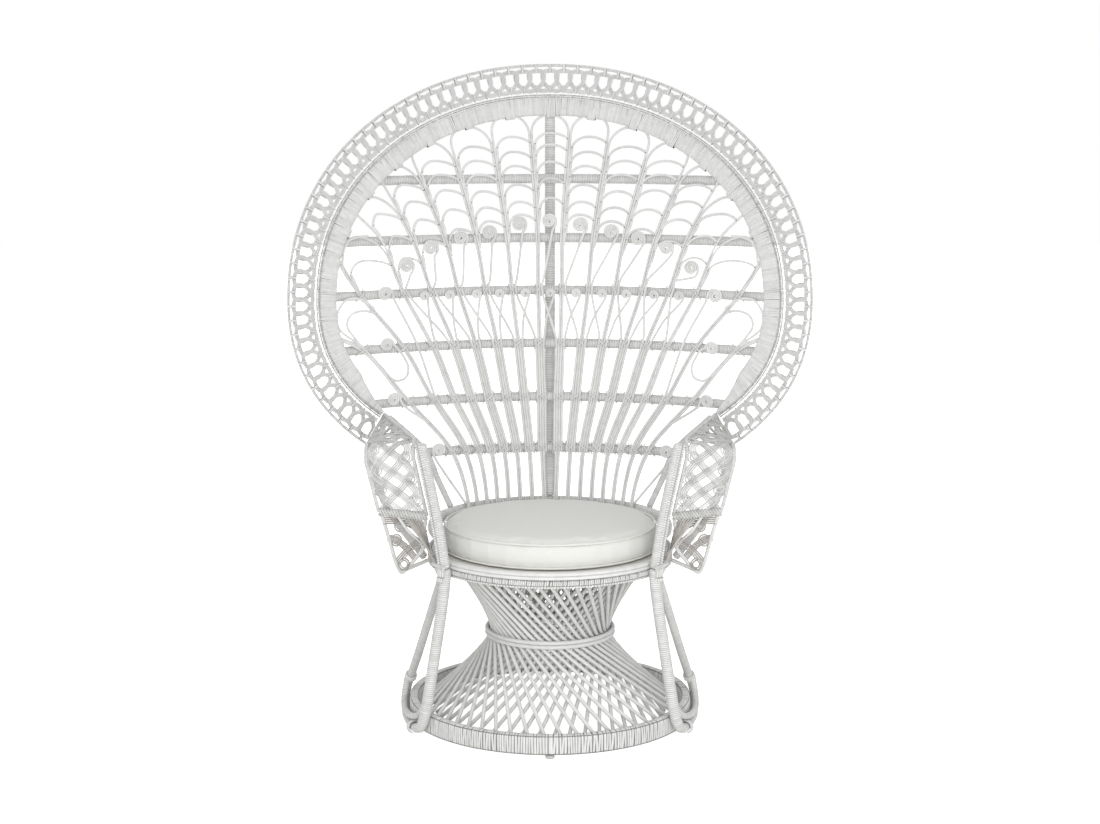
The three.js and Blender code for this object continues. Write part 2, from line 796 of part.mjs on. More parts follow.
// The fan's border ends here; a place at an inset from its outline, a little past the end.
function borderEnd(side, inset, past) {
  const share = side < 0 ? 0 : 1;
  const way = outline.getTangentAt(share).multiplyScalar(side * past);
  return onBorder(share, inset, 0).add(way);
}

const tipInset = insets.band[0] + border.bandTip / 2; // the middle of the band's lower tip

function strut(side, grow = 0) {
  const foot = rad(strutPole.footAngle);
  const path = smooth([
    borderEnd(side, tipInset, rodWidth + arm.rearGap + strutPole.radius),
    beside(side, { ...strutPole.bend, z: lowestRod }),
    beside(side, strutPole.middle),
    vec(side * railRadius * Math.sin(foot), railRadius * Math.cos(foot), rail.top + fit),
  ], armPole.steps);
  return tube(path, strutPole.radius + grow, leg.sides, { last: down });
}

const bandEdge = range(8 * border.holes + 1).map((i) => {
  const share = i / (8 * border.holes);
  return { share, at: onBorder(share, bandInsets(share)[1], 0) };
});

function bandShareNear(x, z) {
  const away = ({ at }) => Math.hypot(at.x - x, at.z - z);
  return bandEdge.reduce((best, p) => (away(p) < away(best) ? p : best)).share;
}

// Stakes: pairs of canes that fan out from the seat, with the arches and scrolls they carry

function stakePath(side, k) {
  const turn = (stake.railFirst + stake.railPitch * k) / stakeRadius;
  const foot = (z) => ({
    at: vec(side * stakeRadius * Math.sin(turn), stakeRadius * Math.cos(turn), z),
    face: vec(-side * Math.sin(turn), -Math.cos(turn), 0),
  });
  const [headAcross, headUp] = stake.headShares[k];
  const head = onBorder(
    bandShareNear(side * headAcross * clearHalf, heightAt(headUp)),
    insets.band[1] - stake.headLap, 0,
  );
  const keys = [foot(rail.top + stake.depth)];
  for (const row of range(rodHeights.length - 1).map((i) => i + 1).reverse()) {
    const z = rodHeights[row];
    const outer = Math.max(0, k + 1 + stake.flareCount - stake.perSide);
    const x = clearHalf * (stake.firstShares[row] + stake.pitchShares[row] * k
      + stake.flareShares[row] * outer ** 2);
    if (z < head.z - stake.width * 3) keys.push({ at: onFan(side * x, z), face: fanNormal(side * x) });
  }
  keys.push({ at: head, face: fanNormal(head.x) });
  const path = smooth(keys.map((key) => key.at), stake.steps);
  return [foot(seat.deckTop + fit).at, ...path].map((at) => {
    const onRail = THREE.MathUtils.smoothstep(at.z, rail.top, lowestRod);
    const face = keys[0].face.clone().lerp(fanNormal(at.x), onRail).normalize();
    return { at, face };
  });
}

// Sideways place of a stake at a height.
const stakeX = (path, z) => placeAt(path.map((p) => p.at), z).x;

const stakes = {};
for (const side of [-1, 1]) {
  for (const k of range(stake.perSide)) stakes[side * (k + 1)] = stakePath(side, k);
}

// Cross rods behind the stakes, let in behind the band at their ends

const rodDepth = -(stake.depth / 2 + crossRod.gap + crossRod.radius);
const postDepth = rodDepth - crossRod.radius - fit - post.radius;

// Half the clear width of the fan at a height, inside its band.
function clearHalfWidth(z) {
  const right = bandEdge.map(({ at }) => at).filter((p) => p.x > 0);
  return right.reduce((best, p) => (Math.abs(p.z - z) < Math.abs(best.z - z) ? p : best)).x;
}

rodHeights.forEach((z, i) => {
  const lowest = i === rodHeights.length - 1;
  const reach = lowest
    ? beside(1, strutPole.bend).x - strutPole.radius / 2
    : clearHalfWidth(z) + crossRod.lap;
  const crossed = Object.values(stakes).map((path) => stakeX(path, z));
  const within = crossed.filter((x) => Math.abs(x) < reach - crossRod.lap);
  const across = [-reach, ...new Set(within), reach].sort((a, b) => a - b);
  const rod = tube(across.map((x) => onFan(x, z, rodDepth)), crossRod.radius, crossRod.sides);
  const trimmed = lowest ? cut(rod, strut(-1, fit), strut(1, fit)) : cut(rod, bandKeepOut);
  add(`cross_rod_${i + 1}`, trimmed, rattan);
});

// The middle post stands on the rail, passes behind the rods and is let in behind the band

const crownZ = bandEdge.reduce((top, { at }) => Math.max(top, at.z), 0);
const postBehind = (z) => onFan(0, z, postDepth);
const postPath = smooth([
  vec(0, railRadius + post.footSetback, rail.top + fit),
  vec(0, railRadius + post.footSetback, rail.top + post.radius),
  postBehind(lowestRod - crossRod.radius),
  postBehind(lowestRod + crossRod.radius),
  ...rodHeights.slice(0, -1).reverse().map(postBehind),
  postBehind(rodHeights[0] + 2 * crossRod.radius),
  onFan(0, crownZ - post.headBend, -(stake.depth + post.radius)),
  onFan(0, crownZ + post.headLap, -(stake.depth / 2 + 2 * fit + post.radius)),
], 22);
add('back_post', cut(
  tube(postPath, post.radius, post.sides, { up: vec(1, 0, 0), first: vec(0, 0, 1) }),
  bandKeepOut,
), rattan);

function stakeBar(path) {
  const along = tangents(path.map((p) => p.at));
  return loft(path.map(({ at, face }, i) => {
    const side = vec(0, 0, 0).crossVectors(along[i], face).normalize();
    return [[-1, -1], [1, -1], [1, 1], [-1, 1]].map(([a, b]) => at.clone()
      .addScaledVector(side, (a * stake.width) / 2)
      .addScaledVector(face, (b * stake.depth) / 2));
  }));
}

const fanTube = (points) => tube(
  points.map(([x, z]) => onFan(x, z)), arch.radius, arch.sides, { up: vec(0, -1, 0) },
);

// Where the near side of a stake is at a height, and how far from it an arch's end stays.
function landing(path, z, outward) {
  const lean = (stakeX(path, z + stake.width) - stakeX(path, z)) / stake.width;
  const half = (stake.width / 2 + arch.radius + arch.endGap) * Math.hypot(1, lean);
  return stakeX(path, z) - outward * half;
}

// The arches of one gap spring from one stake and end just short of the other.
function arches(from, to, gap) {
  const outward = Math.sign(to[0].at.x - from[0].at.x);
  return range(arch.counts[gap]).map((i) => {
    const share = i / (arch.counts[gap] - 1);
    const top = heightAt(mix(arch.firstShares[gap], arch.lastShares[gap], share));
    const foot = top - arch.rise;
    const a = stakeX(from, foot);
    const b = landing(to, foot, outward);
    return fanTube(range(arch.steps + 1).map((k) => {
      const turn = (Math.PI * k) / arch.steps;
      return [(a + b) / 2 - ((b - a) / 2) * Math.cos(turn), foot + arch.rise * Math.sin(turn)];
    }));
  });
}

// A flat scroll that opens to its right, or to its left where the sense is -1, and whose
// tail runs by way of the places given.
function scrollAt(x, z, sense, ...tail) {
  const coil = range(scroll.steps + 1).map((i) => {
    const share = i / scroll.steps;
    const turn = 2 * Math.PI * scroll.turns * (1 - share);
    const r = clearHalf * scroll.radiusShare * mix(scroll.innerShare, 1, share);
    return [x + sense * r * Math.cos(turn), z + r * Math.sin(turn)];
  });
  return fanTube([...coil, ...tail]);
}

// The scroll in the gap on a stake's right.
function scrollInGap(left, right, gap) {
  const z = heightAt(arch.lastShares[gap]) - scroll.drops[gap];
  const x = (stakeX(left, z) + stakeX(right, z)) / 2;
  const footZ = Math.min(fan.middleZ + scroll.tailRise, z - scroll.tailFall);
  const footX = stakeX(left, footZ);
  return scrollAt(x, z, 1, [mix(x, footX, scroll.tailTurnShare), (z + footZ) / 2], [footX, footZ]);
}

for (const [name, side] of [['left', -1], ['right', 1]]) {
  for (const k of range(stake.perSide)) {
    const place = side * (k + 1);
    const own = [stakeBar(stakes[place])];
    if (k + 1 < arch.counts.length) own.push(...arches(stakes[place], stakes[place + side], k + 1));
    if (place === -1) own.push(...arches(stakes[-1], stakes[1], 0));
    const gap = side > 0 ? k + 1 : k;
    if (gap < scroll.drops.length) {
      own.push(scrollInGap(stakes[place], stakes[place + 1] ?? stakes[1], gap));
    }
    if (k + 1 === stake.perSide) {
      scroll.lowerShares.forEach((share, i) => {
        const x = side * share * clearHalf;
        const rodZ = rodHeights[i + 3];
        const foot = stakeX(stakes[place], rodZ);
        const z = rodZ + scroll.lowerRises[i];
        own.push(scrollAt(x, z, Math.sign(foot - x), [foot, rodZ]));
      });
    }
    add(`fan_stake_${name}_${k + 1}`, trim(join(own), bandKeepOut), rattan);
  }
}

// Arms: a woven strip from the fan's end to the front, over a roll and down

// An edge of the strip, from its rear over the top, round the roll and down the drop.
function armEdge(side, rearInset, front, foot) {
  const rear = borderEnd(side, rearInset, rodWidth / 2 + arm.rearGap);
  const { frontY, rollRadius, topCells, rollSteps, dropCells } = arm;
  const rollTop = beside(side, { ...front, y: frontY + rollRadius });
  const rollFoot = beside(side, { ...front, y: frontY, z: front.z - rollRadius });
  const end = beside(side, { ...foot, y: frontY });
  const top = range(topCells).map((i) => rear.clone().lerp(rollTop, i / topCells));
  const roll = range(rollSteps).map((i) => {
    const turn = (Math.PI / 2) * (i / rollSteps);
    return rollFoot.clone().add(vec(
      0, rollRadius * (1 - Math.sin(turn)), rollRadius * Math.cos(turn),
    ));
  });
  const drop = range(dropCells + 1).map((i) => rollFoot.clone().lerp(end, i / dropCells));
  return [...top, ...roll, ...drop];
}

// A sheet with a diamond hole in each cell of a grid of points.
function lattice(grid, thickness, holeShare) {
  const points = [];
  const faces = [];
  const put = (p, normal) => {
    points.push(p.clone().addScaledVector(normal, thickness / 2));
    points.push(p.clone().addScaledVector(normal, -thickness / 2));
    return points.length - 2;
  };
  const rows = grid.length;
  const columns = grid[0].length;
  const normalAt = (i, j) => {
    const down = grid[Math.min(i + 1, rows - 1)][j].clone().sub(grid[Math.max(i - 1, 0)][j]);
    const across = grid[i][Math.min(j + 1, columns - 1)].clone().sub(grid[i][Math.max(j - 1, 0)]);
    return vec(0, 0, 0).crossVectors(down, across).normalize();
  };
  const corner = grid.map((row, i) => row.map((p, j) => put(p, normalAt(i, j))));
  const wall = (a, b) => faces.push([a, b + 1, a + 1], [a, b, b + 1]);
  for (const i of range(rows - 1)) {
    for (const j of range(columns - 1)) {
      const around4 = [[i, j], [i, j + 1], [i + 1, j + 1], [i + 1, j]];
      const middle = vec(0, 0, 0);
      const normal = vec(0, 0, 0);
      for (const [a, b] of around4) {
        middle.addScaledVector(grid[a][b], 1 / 4);
        normal.add(normalAt(a, b));
      }
      normal.normalize();
      const hole = range(4).map((k) => {
        const [a, b] = around4[k];
        const [c, d] = around4[(k + 1) % 4];
        const edge = grid[a][b].clone().lerp(grid[c][d], 0.5);
        return put(middle.clone().lerp(edge, holeShare), normal);
      });
      for (const k of range(4)) {
        const c = corner[around4[k][0]][around4[k][1]];
        const d = corner[around4[(k + 1) % 4][0]][around4[(k + 1) % 4][1]];
        const h = hole[k];
        const g = hole[(k + 3) % 4];
        faces.push([c, h, d], [c + 1, d + 1, h + 1], [c, g, h], [c + 1, h + 1, g + 1]);
        wall(h, g);
        const edgeOfGrid = [i === 0, j === columns - 2, i === rows - 2, j === 0][k];
        if (edgeOfGrid) wall(c, d);
      }
    }
  }
  return solid(points, faces);
}

// Rows of points from one edge to the other, keeping clear of the rods along both.
function weaveGrid(outer, inner, clear, cells) {
  return outer.map((a, i) => {
    const b = inner[i];
    const margin = clear / a.distanceTo(b);
    return range(cells + 1).map((j) => a.clone().lerp(b, mix(margin, 1 - margin, j / cells)));
  });
}

// Moves the first and last row of a grid inwards, off the bars across its ends.
function trimEnds(grid, startGap, endGap) {
  const last = grid.length - 1;
  return grid.map((row, i) => row.map((p, j) => {
    if (i === 0) return p.clone().lerp(grid[1][j], startGap / p.distanceTo(grid[1][j]));
    if (i === last) return p.clone().lerp(grid[last - 1][j], endGap / p.distanceTo(grid[last - 1][j]));
    return p;
  }));
}

const rod = (path, radius = rodWidth / 2) => tube(path, radius, crossRod.sides);

for (const [name, side] of [['left', -1], ['right', 1]]) {
  add(`leg_loop_${name}`, legLoop(side), rattan);
  add(`arm_post_${name}`, armPost(side), rattan);
  add(`fan_strut_${name}`, strut(side), rattan);

  const outer = armEdge(side, rodWidth / 2, arm.outerFront, arm.outerFoot);
  const inner = armEdge(side, tipInset, arm.innerFront, arm.innerFoot);
  const end = outer.length - 1;
  add(`arm_frame_${name}`, join([
    rod(outer), rod(inner), rod([outer[0], inner[0]]),
    rod([outer[end], inner[end]], arm.rollBarRadius),
  ]), rattan);

  const clear = rodWidth / 2 + arm.weaveGap;
  const sheet = trimEnds(
    weaveGrid(outer, inner, clear, 2), clear, arm.rollBarRadius + arm.weaveGap,
  );
  add(`arm_weave_${name}`, lattice(sheet, arm.weaveThickness, arm.holeShare), peel);

  const below = vec(0, 0, -(arm.rollBarRadius + bracket.drop));
  const corner = beside(side, bracket.corner);
  const innerKeys = [inner[end].clone().add(below), beside(side, bracket.bulge), corner];
  const innerCurve = new THREE.CatmullRomCurve3(innerKeys);
  const outerTop = outer[end].clone().add(below);
  const bracketRows = range(bracket.cells + 1).map((i) => {
    const share = (i / bracket.cells) * bracket.weaveEndShare;
    const a = outerTop.clone().lerp(corner, share);
    const b = innerCurve.getPoint(share);
    return [a, a.clone().lerp(b, 1 / 2), b];
  });
  const tieEnd = around(
    seat.outerRadius + fit + bracket.tieRadius, side * rad(bracket.tieAngle),
    (seat.hoopBottom + seat.hoopTop) / 2,
  );
  add(`arm_bracket_${name}`, join([
    rod([outerTop, corner]),
    rod(smooth(innerKeys, 2 * bracket.cells)),
    rod([corner, tieEnd], bracket.tieRadius),
    lattice(bracketRows, arm.weaveThickness / 2, arm.holeShare),
  ]), peel);

  const braceHead = outer[0].clone().lerp(beside(side, {
    ...arm.outerFront, y: arm.frontY,
  }), brace.headShare).add(vec(0, 0, -brace.headDrop));
  const braceFoot = around(
    seat.outerRadius + fit + brace.radius, side * rad(brace.footAngle), seat.hoopTop,
  );
  const bracePath = smooth([braceHead, beside(side, brace.bend), braceFoot], armPole.steps);
  add(`arm_brace_${name}`, tube(bracePath, brace.radius, leg.sides, {
    up: vec(0, 1, 0), first: down, last: down,
  }), rattan);
}

const total = new THREE.Box3().setFromObject(chair);
chair.position.set(0, -(total.min.y + total.max.y) / 2, 0);

export default chair;
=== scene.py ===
import math

import bpy
import numpy as np
from mathutils import Matrix, Vector


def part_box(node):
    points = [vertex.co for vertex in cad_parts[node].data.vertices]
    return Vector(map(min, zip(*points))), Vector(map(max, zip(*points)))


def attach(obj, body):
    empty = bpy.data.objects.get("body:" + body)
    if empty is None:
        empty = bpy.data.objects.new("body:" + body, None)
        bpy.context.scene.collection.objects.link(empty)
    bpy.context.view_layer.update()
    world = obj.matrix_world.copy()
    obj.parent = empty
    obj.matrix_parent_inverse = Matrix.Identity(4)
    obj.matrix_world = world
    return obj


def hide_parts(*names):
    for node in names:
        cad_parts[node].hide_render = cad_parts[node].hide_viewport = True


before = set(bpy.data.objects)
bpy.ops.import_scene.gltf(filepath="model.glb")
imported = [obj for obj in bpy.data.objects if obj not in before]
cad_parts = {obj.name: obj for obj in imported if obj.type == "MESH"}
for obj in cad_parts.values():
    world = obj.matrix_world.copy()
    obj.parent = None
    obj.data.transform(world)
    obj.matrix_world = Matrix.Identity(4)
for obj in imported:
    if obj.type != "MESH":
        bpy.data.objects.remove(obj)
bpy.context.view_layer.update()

# A peacock chair of white painted rattan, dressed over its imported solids. Sizes are in
# millimetres round the pedestal's axis, and makePaths and makeMesh turn them into metres.

scene = bpy.context.scene
mm = 0.001
hoopLow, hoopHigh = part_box("base_hoop")
axisY = (hoopLow.y + hoopHigh.y) / 2  # of the pedestal, in metres
dice = np.random.default_rng(11)


def say(stage):
    print("peacock chair:", stage, flush=True)


# Small sums on points


def vec(*parts):
    return np.array(parts, float)


def unit(v):
    return v / np.maximum(np.linalg.norm(v, axis=-1, keepdims=True), 1e-9)


def mix(a, b, share):
    return a + (b - a) * share


def easeBetween(value, low, high):
    share = np.clip((value - low) / (high - low), 0, 1)
    return share * share * (3 - 2 * share)


def fullTurn(count):
    return np.linspace(0, 2 * math.pi, count, endpoint=False)


def around(radius, degrees, z):
    turn = math.radians(degrees)
    return vec(radius * math.sin(turn), -radius * math.cos(turn), z)


def lengthsAlong(points):
    steps = np.linalg.norm(np.diff(points, axis=0), axis=1)
    return np.concatenate([[0], np.cumsum(steps)])


def evenly(points, step):
    run = lengthsAlong(points)
    count = max(2, int(round(run[-1] / step)) + 1)
    at = np.linspace(0, run[-1], count)
    return np.stack([np.interp(at, run, points[:, i]) for i in range(points.shape[1])], 1)


# A smooth line through a few points, with a point every step.
def smoothPath(keys, step):
    keys = np.array(keys, float)
    padded = np.vstack([2 * keys[0] - keys[1], keys, 2 * keys[-1] - keys[-2]])
    share = np.linspace(0, 1, 24, endpoint=False)[:, None]
    drawn = []
    for a, b, c, d in zip(padded, padded[1:], padded[2:], padded[3:]):
        before, here, after = (math.sqrt(np.linalg.norm(q - p)) for p, q in ((a, b), (b, c), (c, d)))
        leave = ((b - a) / before - (c - a) / (before + here) + (c - b) / here) * here
        arrive = ((c - b) / here - (d - b) / (here + after) + (d - c) / after) * here
        drawn.append(
            b * (2 * share**3 - 3 * share**2 + 1) + leave * (share**3 - 2 * share**2 + share)
            + c * (3 * share**2 - 2 * share**3) + arrive * (share**3 - share**2)
        )
    drawn.append(keys[-1:])
    return evenly(np.vstack(drawn), step)


def waysAlong(points, closed=False):
    if closed:
        return unit(np.roll(points, -1, 0) - np.roll(points, 1, 0))
    return unit(np.gradient(points, axis=0))


# Lines beside a line that lies on a surface with these normals.
def beside(points, normals, offsets, closed=False):
    sideways = unit(np.cross(waysAlong(points, closed), normals))
    return [points + sideways * offset for offset in offsets]


# Meshes and Geometry Nodes


def toMetres(points):
    moved = np.array(points, float) * mm
    moved[:, 1] += axisY
    return moved


def addObject(name, mesh):
    made = bpy.data.objects.new(name, mesh)
    scene.collection.objects.link(made)
    return made


def makeMesh(name, points, faces, finish):
    mesh = bpy.data.meshes.new(name)
    mesh.from_pydata(toMetres(points).tolist(), [], [list(map(int, f)) for f in faces])
    mesh.update()
    mesh.shade_smooth()
    mesh.materials.append(finish)
    return addObject(name, mesh)


def keepOnPoints(mesh, name, values, kind="FLOAT"):
    part = "value" if kind == "FLOAT" else "vector"
    mesh.attributes.new(name, kind, "POINT").data.foreach_set(part, np.ravel(np.array(values, float)))


# Rings of points joined to a closed body, round on themselves or capped at both ends.
def loft(rings, closed=False):
    rings = np.array(rings, float)
    count, sides = rings.shape[:2]
    faces = []
    for i in range(count if closed else count - 1):
        here, after = i * sides, ((i + 1) % count) * sides
        for j in range(sides):
            k = (j + 1) % sides
            faces.append((here + j, here + k, after + k, after + j))
    if not closed:
        last = (count - 1) * sides
        faces.append(tuple(range(sides))[::-1])
        faces.append(tuple(range(last, last + sides)))
    points = rings.reshape(-1, 3)
    volume = sum(np.dot(points[f[0]], np.cross(points[f[i]], points[f[i + 1]]))
                 for f in faces for i in range(1, len(f) - 1))
    return points, faces if volume > 0 else [f[::-1] for f in faces]


# A line with its thickness, for the trees below. Its open ends are rounded over.
def cane(points, radius, closed=False):
    points = np.array(points, float)
    radii = np.broadcast_to(np.asarray(radius, float), (len(points),)).copy()
    if not closed:
        first, last = unit(points[1] - points[0]), unit(points[-1] - points[-2])
        points = np.vstack([points[0], points[0] + first * radii[0] * 0.3, points[1:-1],
                            points[-1] - last * radii[-1] * 0.3, points[-1]])
        radii = np.concatenate([[radii[0] * 0.6], radii[:1], radii[1:-1], radii[-1:], [radii[-1] * 0.6]])
    return points, radii, closed


def makePaths(name, canes):
    edges, start = [], 0
    for line, _, closed in canes:
        count = len(line)
        edges += [(start + i, start + i + 1) for i in range(count - 1)]
        if closed:
            edges.append((start + count - 1, start))
        start += count
    mesh = bpy.data.meshes.new(name)
    mesh.from_pydata(toMetres(np.vstack([c[0] for c in canes])).tolist(), edges, [])
    keepOnPoints(mesh, "thickness", np.concatenate([c[1] for c in canes]) * mm)
    keepOnPoints(mesh, "tone", np.concatenate([np.full(len(c[0]), dice.random()) for c in canes]))
    return addObject(name, mesh)


# Points that carry a turned, scaled copy each: place, across, outward, scale.
def makeSpots(name, spots):
    mesh = bpy.data.meshes.new(name)
    mesh.from_pydata(toMetres([s[0] for s in spots]).tolist(), [], [])
    turns = []
    for _, across, outward, _ in spots:
        x = unit(across)
        z = unit(np.cross(x, outward))
        turns += list(Matrix(np.stack([x, np.cross(z, x), z], 1).tolist()).to_euler())
    keepOnPoints(mesh, "turn", turns, "FLOAT_VECTOR")
    keepOnPoints(mesh, "stretch", [s[3] for s in spots], "FLOAT_VECTOR")
    keepOnPoints(mesh, "tone", dice.random(len(spots)))
    return addObject(name, mesh)


# Adds a node with what feeds its sockets and with its settings, and gives its outputs.
def addNode(tree, kind, feeds=None, **settings):
    node = tree.nodes.new(kind)
    for key, value in settings.items():
        setattr(node, key, value)
    for key, value in (feeds or {}).items():
        if isinstance(value, bpy.types.NodeSocket):
            tree.links.new(value, node.inputs[key])
        else:
            node.inputs[key].default_value = value
    return node.outputs


def startTree(name, inputs):
    tree = bpy.data.node_groups.new(name, "GeometryNodeTree")
    for label, kind in {"Geometry": "Geometry", **inputs}.items():
        tree.interface.new_socket(label, in_out="INPUT", socket_type="NodeSocket" + kind)
    tree.interface.new_socket("Geometry", in_out="OUTPUT", socket_type="NodeSocketGeometry")
    return tree, addNode(tree, "NodeGroupInput")


def endTree(tree, geometry, finish):
    real = addNode(tree, "GeometryNodeRealizeInstances", {"Geometry": geometry})[0]
    smooth = addNode(tree, "GeometryNodeSetShadeSmooth", {"Geometry": real})[0]
    painted = addNode(tree, "GeometryNodeSetMaterial", {"Geometry": smooth, "Material": finish})[0]
    addNode(tree, "NodeGroupOutput", {"Geometry": painted})
    return tree


# Sweeps a circle along lines whose thickness is given, and keeps how far along and where
# round the cane each point is, for the grain.
def sweepTree(tree, given, curve, turn=None):
    run = addNode(tree, "GeometryNodeSplineParameter")["Length"]
    circle = addNode(tree, "GeometryNodeCurvePrimitiveCircle", {
        "Resolution": given["Sides"], "Radius": 1.0})[0]
    place = addNode(tree, "GeometryNodeInputPosition")[0]
    path, ring = (
        addNode(tree, "GeometryNodeStoreNamedAttribute", {"Geometry": line, "Name": name, "Value": value},
                data_type=kind, domain="POINT")[0]
        for line, name, value, kind in (
            (curve, "along", run, "FLOAT"), (circle, "girth", place, "FLOAT_VECTOR")))
    if turn:
        ring = addNode(tree, "GeometryNodeTransform", {"Geometry": ring, "Rotation": turn})[0]
    thick = addNode(tree, "GeometryNodeInputNamedAttribute", {"Name": "thickness"}, data_type="FLOAT")[0]
    swept = addNode(tree, "GeometryNodeCurveToMesh", {
        "Curve": path, "Profile Curve": ring, "Scale": thick, "Fill Caps": True})[0]
    return endTree(tree, swept, given["Finish"])


def makeCaneTree():
    tree, given = startTree("roundCanes", {"Sides": "Int", "Finish": "Material"})
    curve = addNode(tree, "GeometryNodeMeshToCurve", {"Mesh": given["Geometry"]})[0]
    return sweepTree(tree, given, curve)


# Flat peel wound round a pole: a shallow crease after each wrap, and wraps that differ a
# little in how far they stand out. Each wrap has four rings, and its first is the crease.
def makeWrapTree():
    tree, given = startTree("woundPeel", {
        "Wrap Width": "Float", "Crease Depth": "Float", "Unevenness": "Float", "Slant": "Float",
        "Sides": "Int", "Seed": "Int", "Finish": "Material"})
    curve = addNode(tree, "GeometryNodeMeshToCurve", {"Mesh": given["Geometry"]})[0]
    quarter = addNode(tree, "ShaderNodeMath", {0: given["Wrap Width"], 1: 4.0}, operation="DIVIDE")[0]
    rings = addNode(tree, "GeometryNodeResampleCurve", {"Curve": curve, "Length": quarter},
                    mode="LENGTH")[0]
    index = addNode(tree, "GeometryNodeInputIndex")[0]
    phase = addNode(tree, "ShaderNodeMath", {0: index, 1: 4.0}, operation="MODULO")[0]
    crease = addNode(tree, "ShaderNodeMath", {0: phase, 1: 0.5}, operation="LESS_THAN")[0]
    wrap = addNode(tree, "ShaderNodeMath", {0: index, 1: 4.0}, operation="DIVIDE")[0]
    wrap = addNode(tree, "ShaderNodeMath", {0: wrap}, operation="FLOOR")[0]
    chance = addNode(tree, "FunctionNodeRandomValue", {"ID": wrap, "Seed": given["Seed"]},
                     data_type="FLOAT")[1]
    swell = addNode(tree, "ShaderNodeMath", {0: chance, 1: 1.0}, operation="SUBTRACT")[0]
    swell = addNode(tree, "ShaderNodeMath", {0: swell, 1: given["Unevenness"]}, operation="MULTIPLY")[0]
    dip = addNode(tree, "ShaderNodeMath", {0: crease, 1: given["Crease Depth"]}, operation="MULTIPLY")[0]
    thick = addNode(tree, "GeometryNodeInputNamedAttribute", {"Name": "thickness"}, data_type="FLOAT")[0]
    thick = addNode(tree, "ShaderNodeMath", {0: thick, 1: swell}, operation="ADD")[0]
    thick = addNode(tree, "ShaderNodeMath", {0: thick, 1: dip}, operation="SUBTRACT")[0]
    # The crease mark is kept for the paint, which greys it as painted shade.
    for name, value in (("crease", crease), ("tone", chance), ("thickness", thick)):
        rings = addNode(tree, "GeometryNodeStoreNamedAttribute", {
            "Geometry": rings, "Name": name, "Value": value}, data_type="FLOAT", domain="POINT")[0]
    turn = addNode(tree, "ShaderNodeCombineXYZ", {"X": given["Slant"]})[0]
    return sweepTree(tree, given, rings, turn)


# One copy of a small shape on each spot.
def makeSpotTree():
    tree, given = startTree("stripsOnSpots", {"Shape": "Object", "Finish": "Material"})
    shape = addNode(tree, "GeometryNodeObjectInfo", {"Object": given["Shape"]})["Geometry"]
    points = addNode(tree, "GeometryNodeMeshToPoints", {"Mesh": given["Geometry"]})[0]
    turn, stretch = (
        addNode(tree, "GeometryNodeInputNamedAttribute", {"Name": name}, data_type="FLOAT_VECTOR")[0]
        for name in ("turn", "stretch"))
    turn = addNode(tree, "FunctionNodeEulerToRotation", {"Euler": turn})[0]
    copies = addNode(tree, "GeometryNodeInstanceOnPoints", {
        "Points": points, "Instance": shape, "Rotation": turn, "Scale": stretch})[0]
    return endTree(tree, copies, given["Finish"])


# Keeps what an object's modifiers make of it as its plain mesh.
def plainMesh(made):
    graph = bpy.context.evaluated_depsgraph_get()
    mesh = bpy.data.meshes.new_from_object(made.evaluated_get(graph), depsgraph=graph)
    made.modifiers.clear()
    made.data = mesh
    mesh.name = made.name
    return mesh


def growMesh(made, tree, inputs):
    modifier = made.modifiers.new(tree.name, "NODES")
    modifier.node_group = tree
    for item in tree.interface.items_tree:
        if item.in_out == "INPUT" and item.name in inputs:
            modifier[item.identifier] = inputs[item.name]
    plainMesh(made)
    return made


caneTree, wrapTree, spotTree = makeCaneTree(), makeWrapTree(), makeSpotTree()


def settle(piece, *nodes, slot="painted_rattan", body="chair"):
    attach(piece, body)
    if nodes:
        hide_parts(*nodes)


def roundPiece(name, canes, *nodes, slot="painted_rattan", finish=None, sides=8):
    made = growMesh(makePaths(name, canes), caneTree, {
        "Sides": sides, "Finish": finish or paintedRattan})
    settle(made, *nodes, slot=slot)


def woundPiece(name, canes, *nodes, slot="painted_rattan", finish=None, wrap=4.0, crease=0.8,
               uneven=0.5, slant=0.06, sides=12):
    made = growMesh(makePaths(name, canes), wrapTree, {
        "Wrap Width": wrap * mm, "Crease Depth": crease * mm, "Unevenness": uneven * mm,
        "Slant": slant, "Sides": sides, "Seed": len(name), "Finish": finish or paintedPeel})
    settle(made, *nodes, slot=slot)


def stripPiece(name, shape, spots, *nodes, slot="painted_rattan", finish=None):
    made = growMesh(makeSpots(name, spots), spotTree, {
        "Shape": shape, "Finish": finish or paintedPeel})
    bpy.data.objects.remove(shape)
    settle(made, *nodes, slot=slot)


# Across a strip of peel: the place, and how much of its lift it has there.
stripProfile = ((-0.5, 0.0), (-0.4, 0.85), (0.0, 1.0), (0.4, 0.85), (0.5, 0.0))


# A strip bent round a four-cornered section, its long edges rolled down.
def stripShape(width, thickness, lift, corner, sides=16):
    turns = fullTurn(sides) + math.pi / sides
    rounded = np.stack([np.cos(turns), np.sin(turns)], 1)
    section = np.sign(rounded) * np.abs(rounded) ** corner
    half, count = vec(width, thickness) / 2, len(stripProfile)
    points, creases, faces = [], [], []
    for i, (z, out) in enumerate(stripProfile):
        for p in section * (half + lift * (out - 1)):
            points.append((p[0] * mm, p[1] * mm, z * mm))
            creases.append(1.0 - out)
        for j in range(sides):
            k, after = (j + 1) % sides, ((i + 1) % count) * sides
            faces.append((i * sides + j, i * sides + k, after + k, after + j))
    mesh = bpy.data.meshes.new("strip")
    mesh.from_pydata(points, [], faces)
    # The rolled edges are marked as creases, which the paint greys as painted shade.
    keepOnPoints(mesh, "crease", creases)
    return addObject("strip", mesh)


# Materials


def hexColor(text):
    parts = [int(text[i:i + 2], 16) / 255 for i in (1, 3, 5)]
    return [p / 12.92 if p <= 0.04045 else ((p + 0.055) / 1.055) ** 2.4 for p in parts] + [1.0]


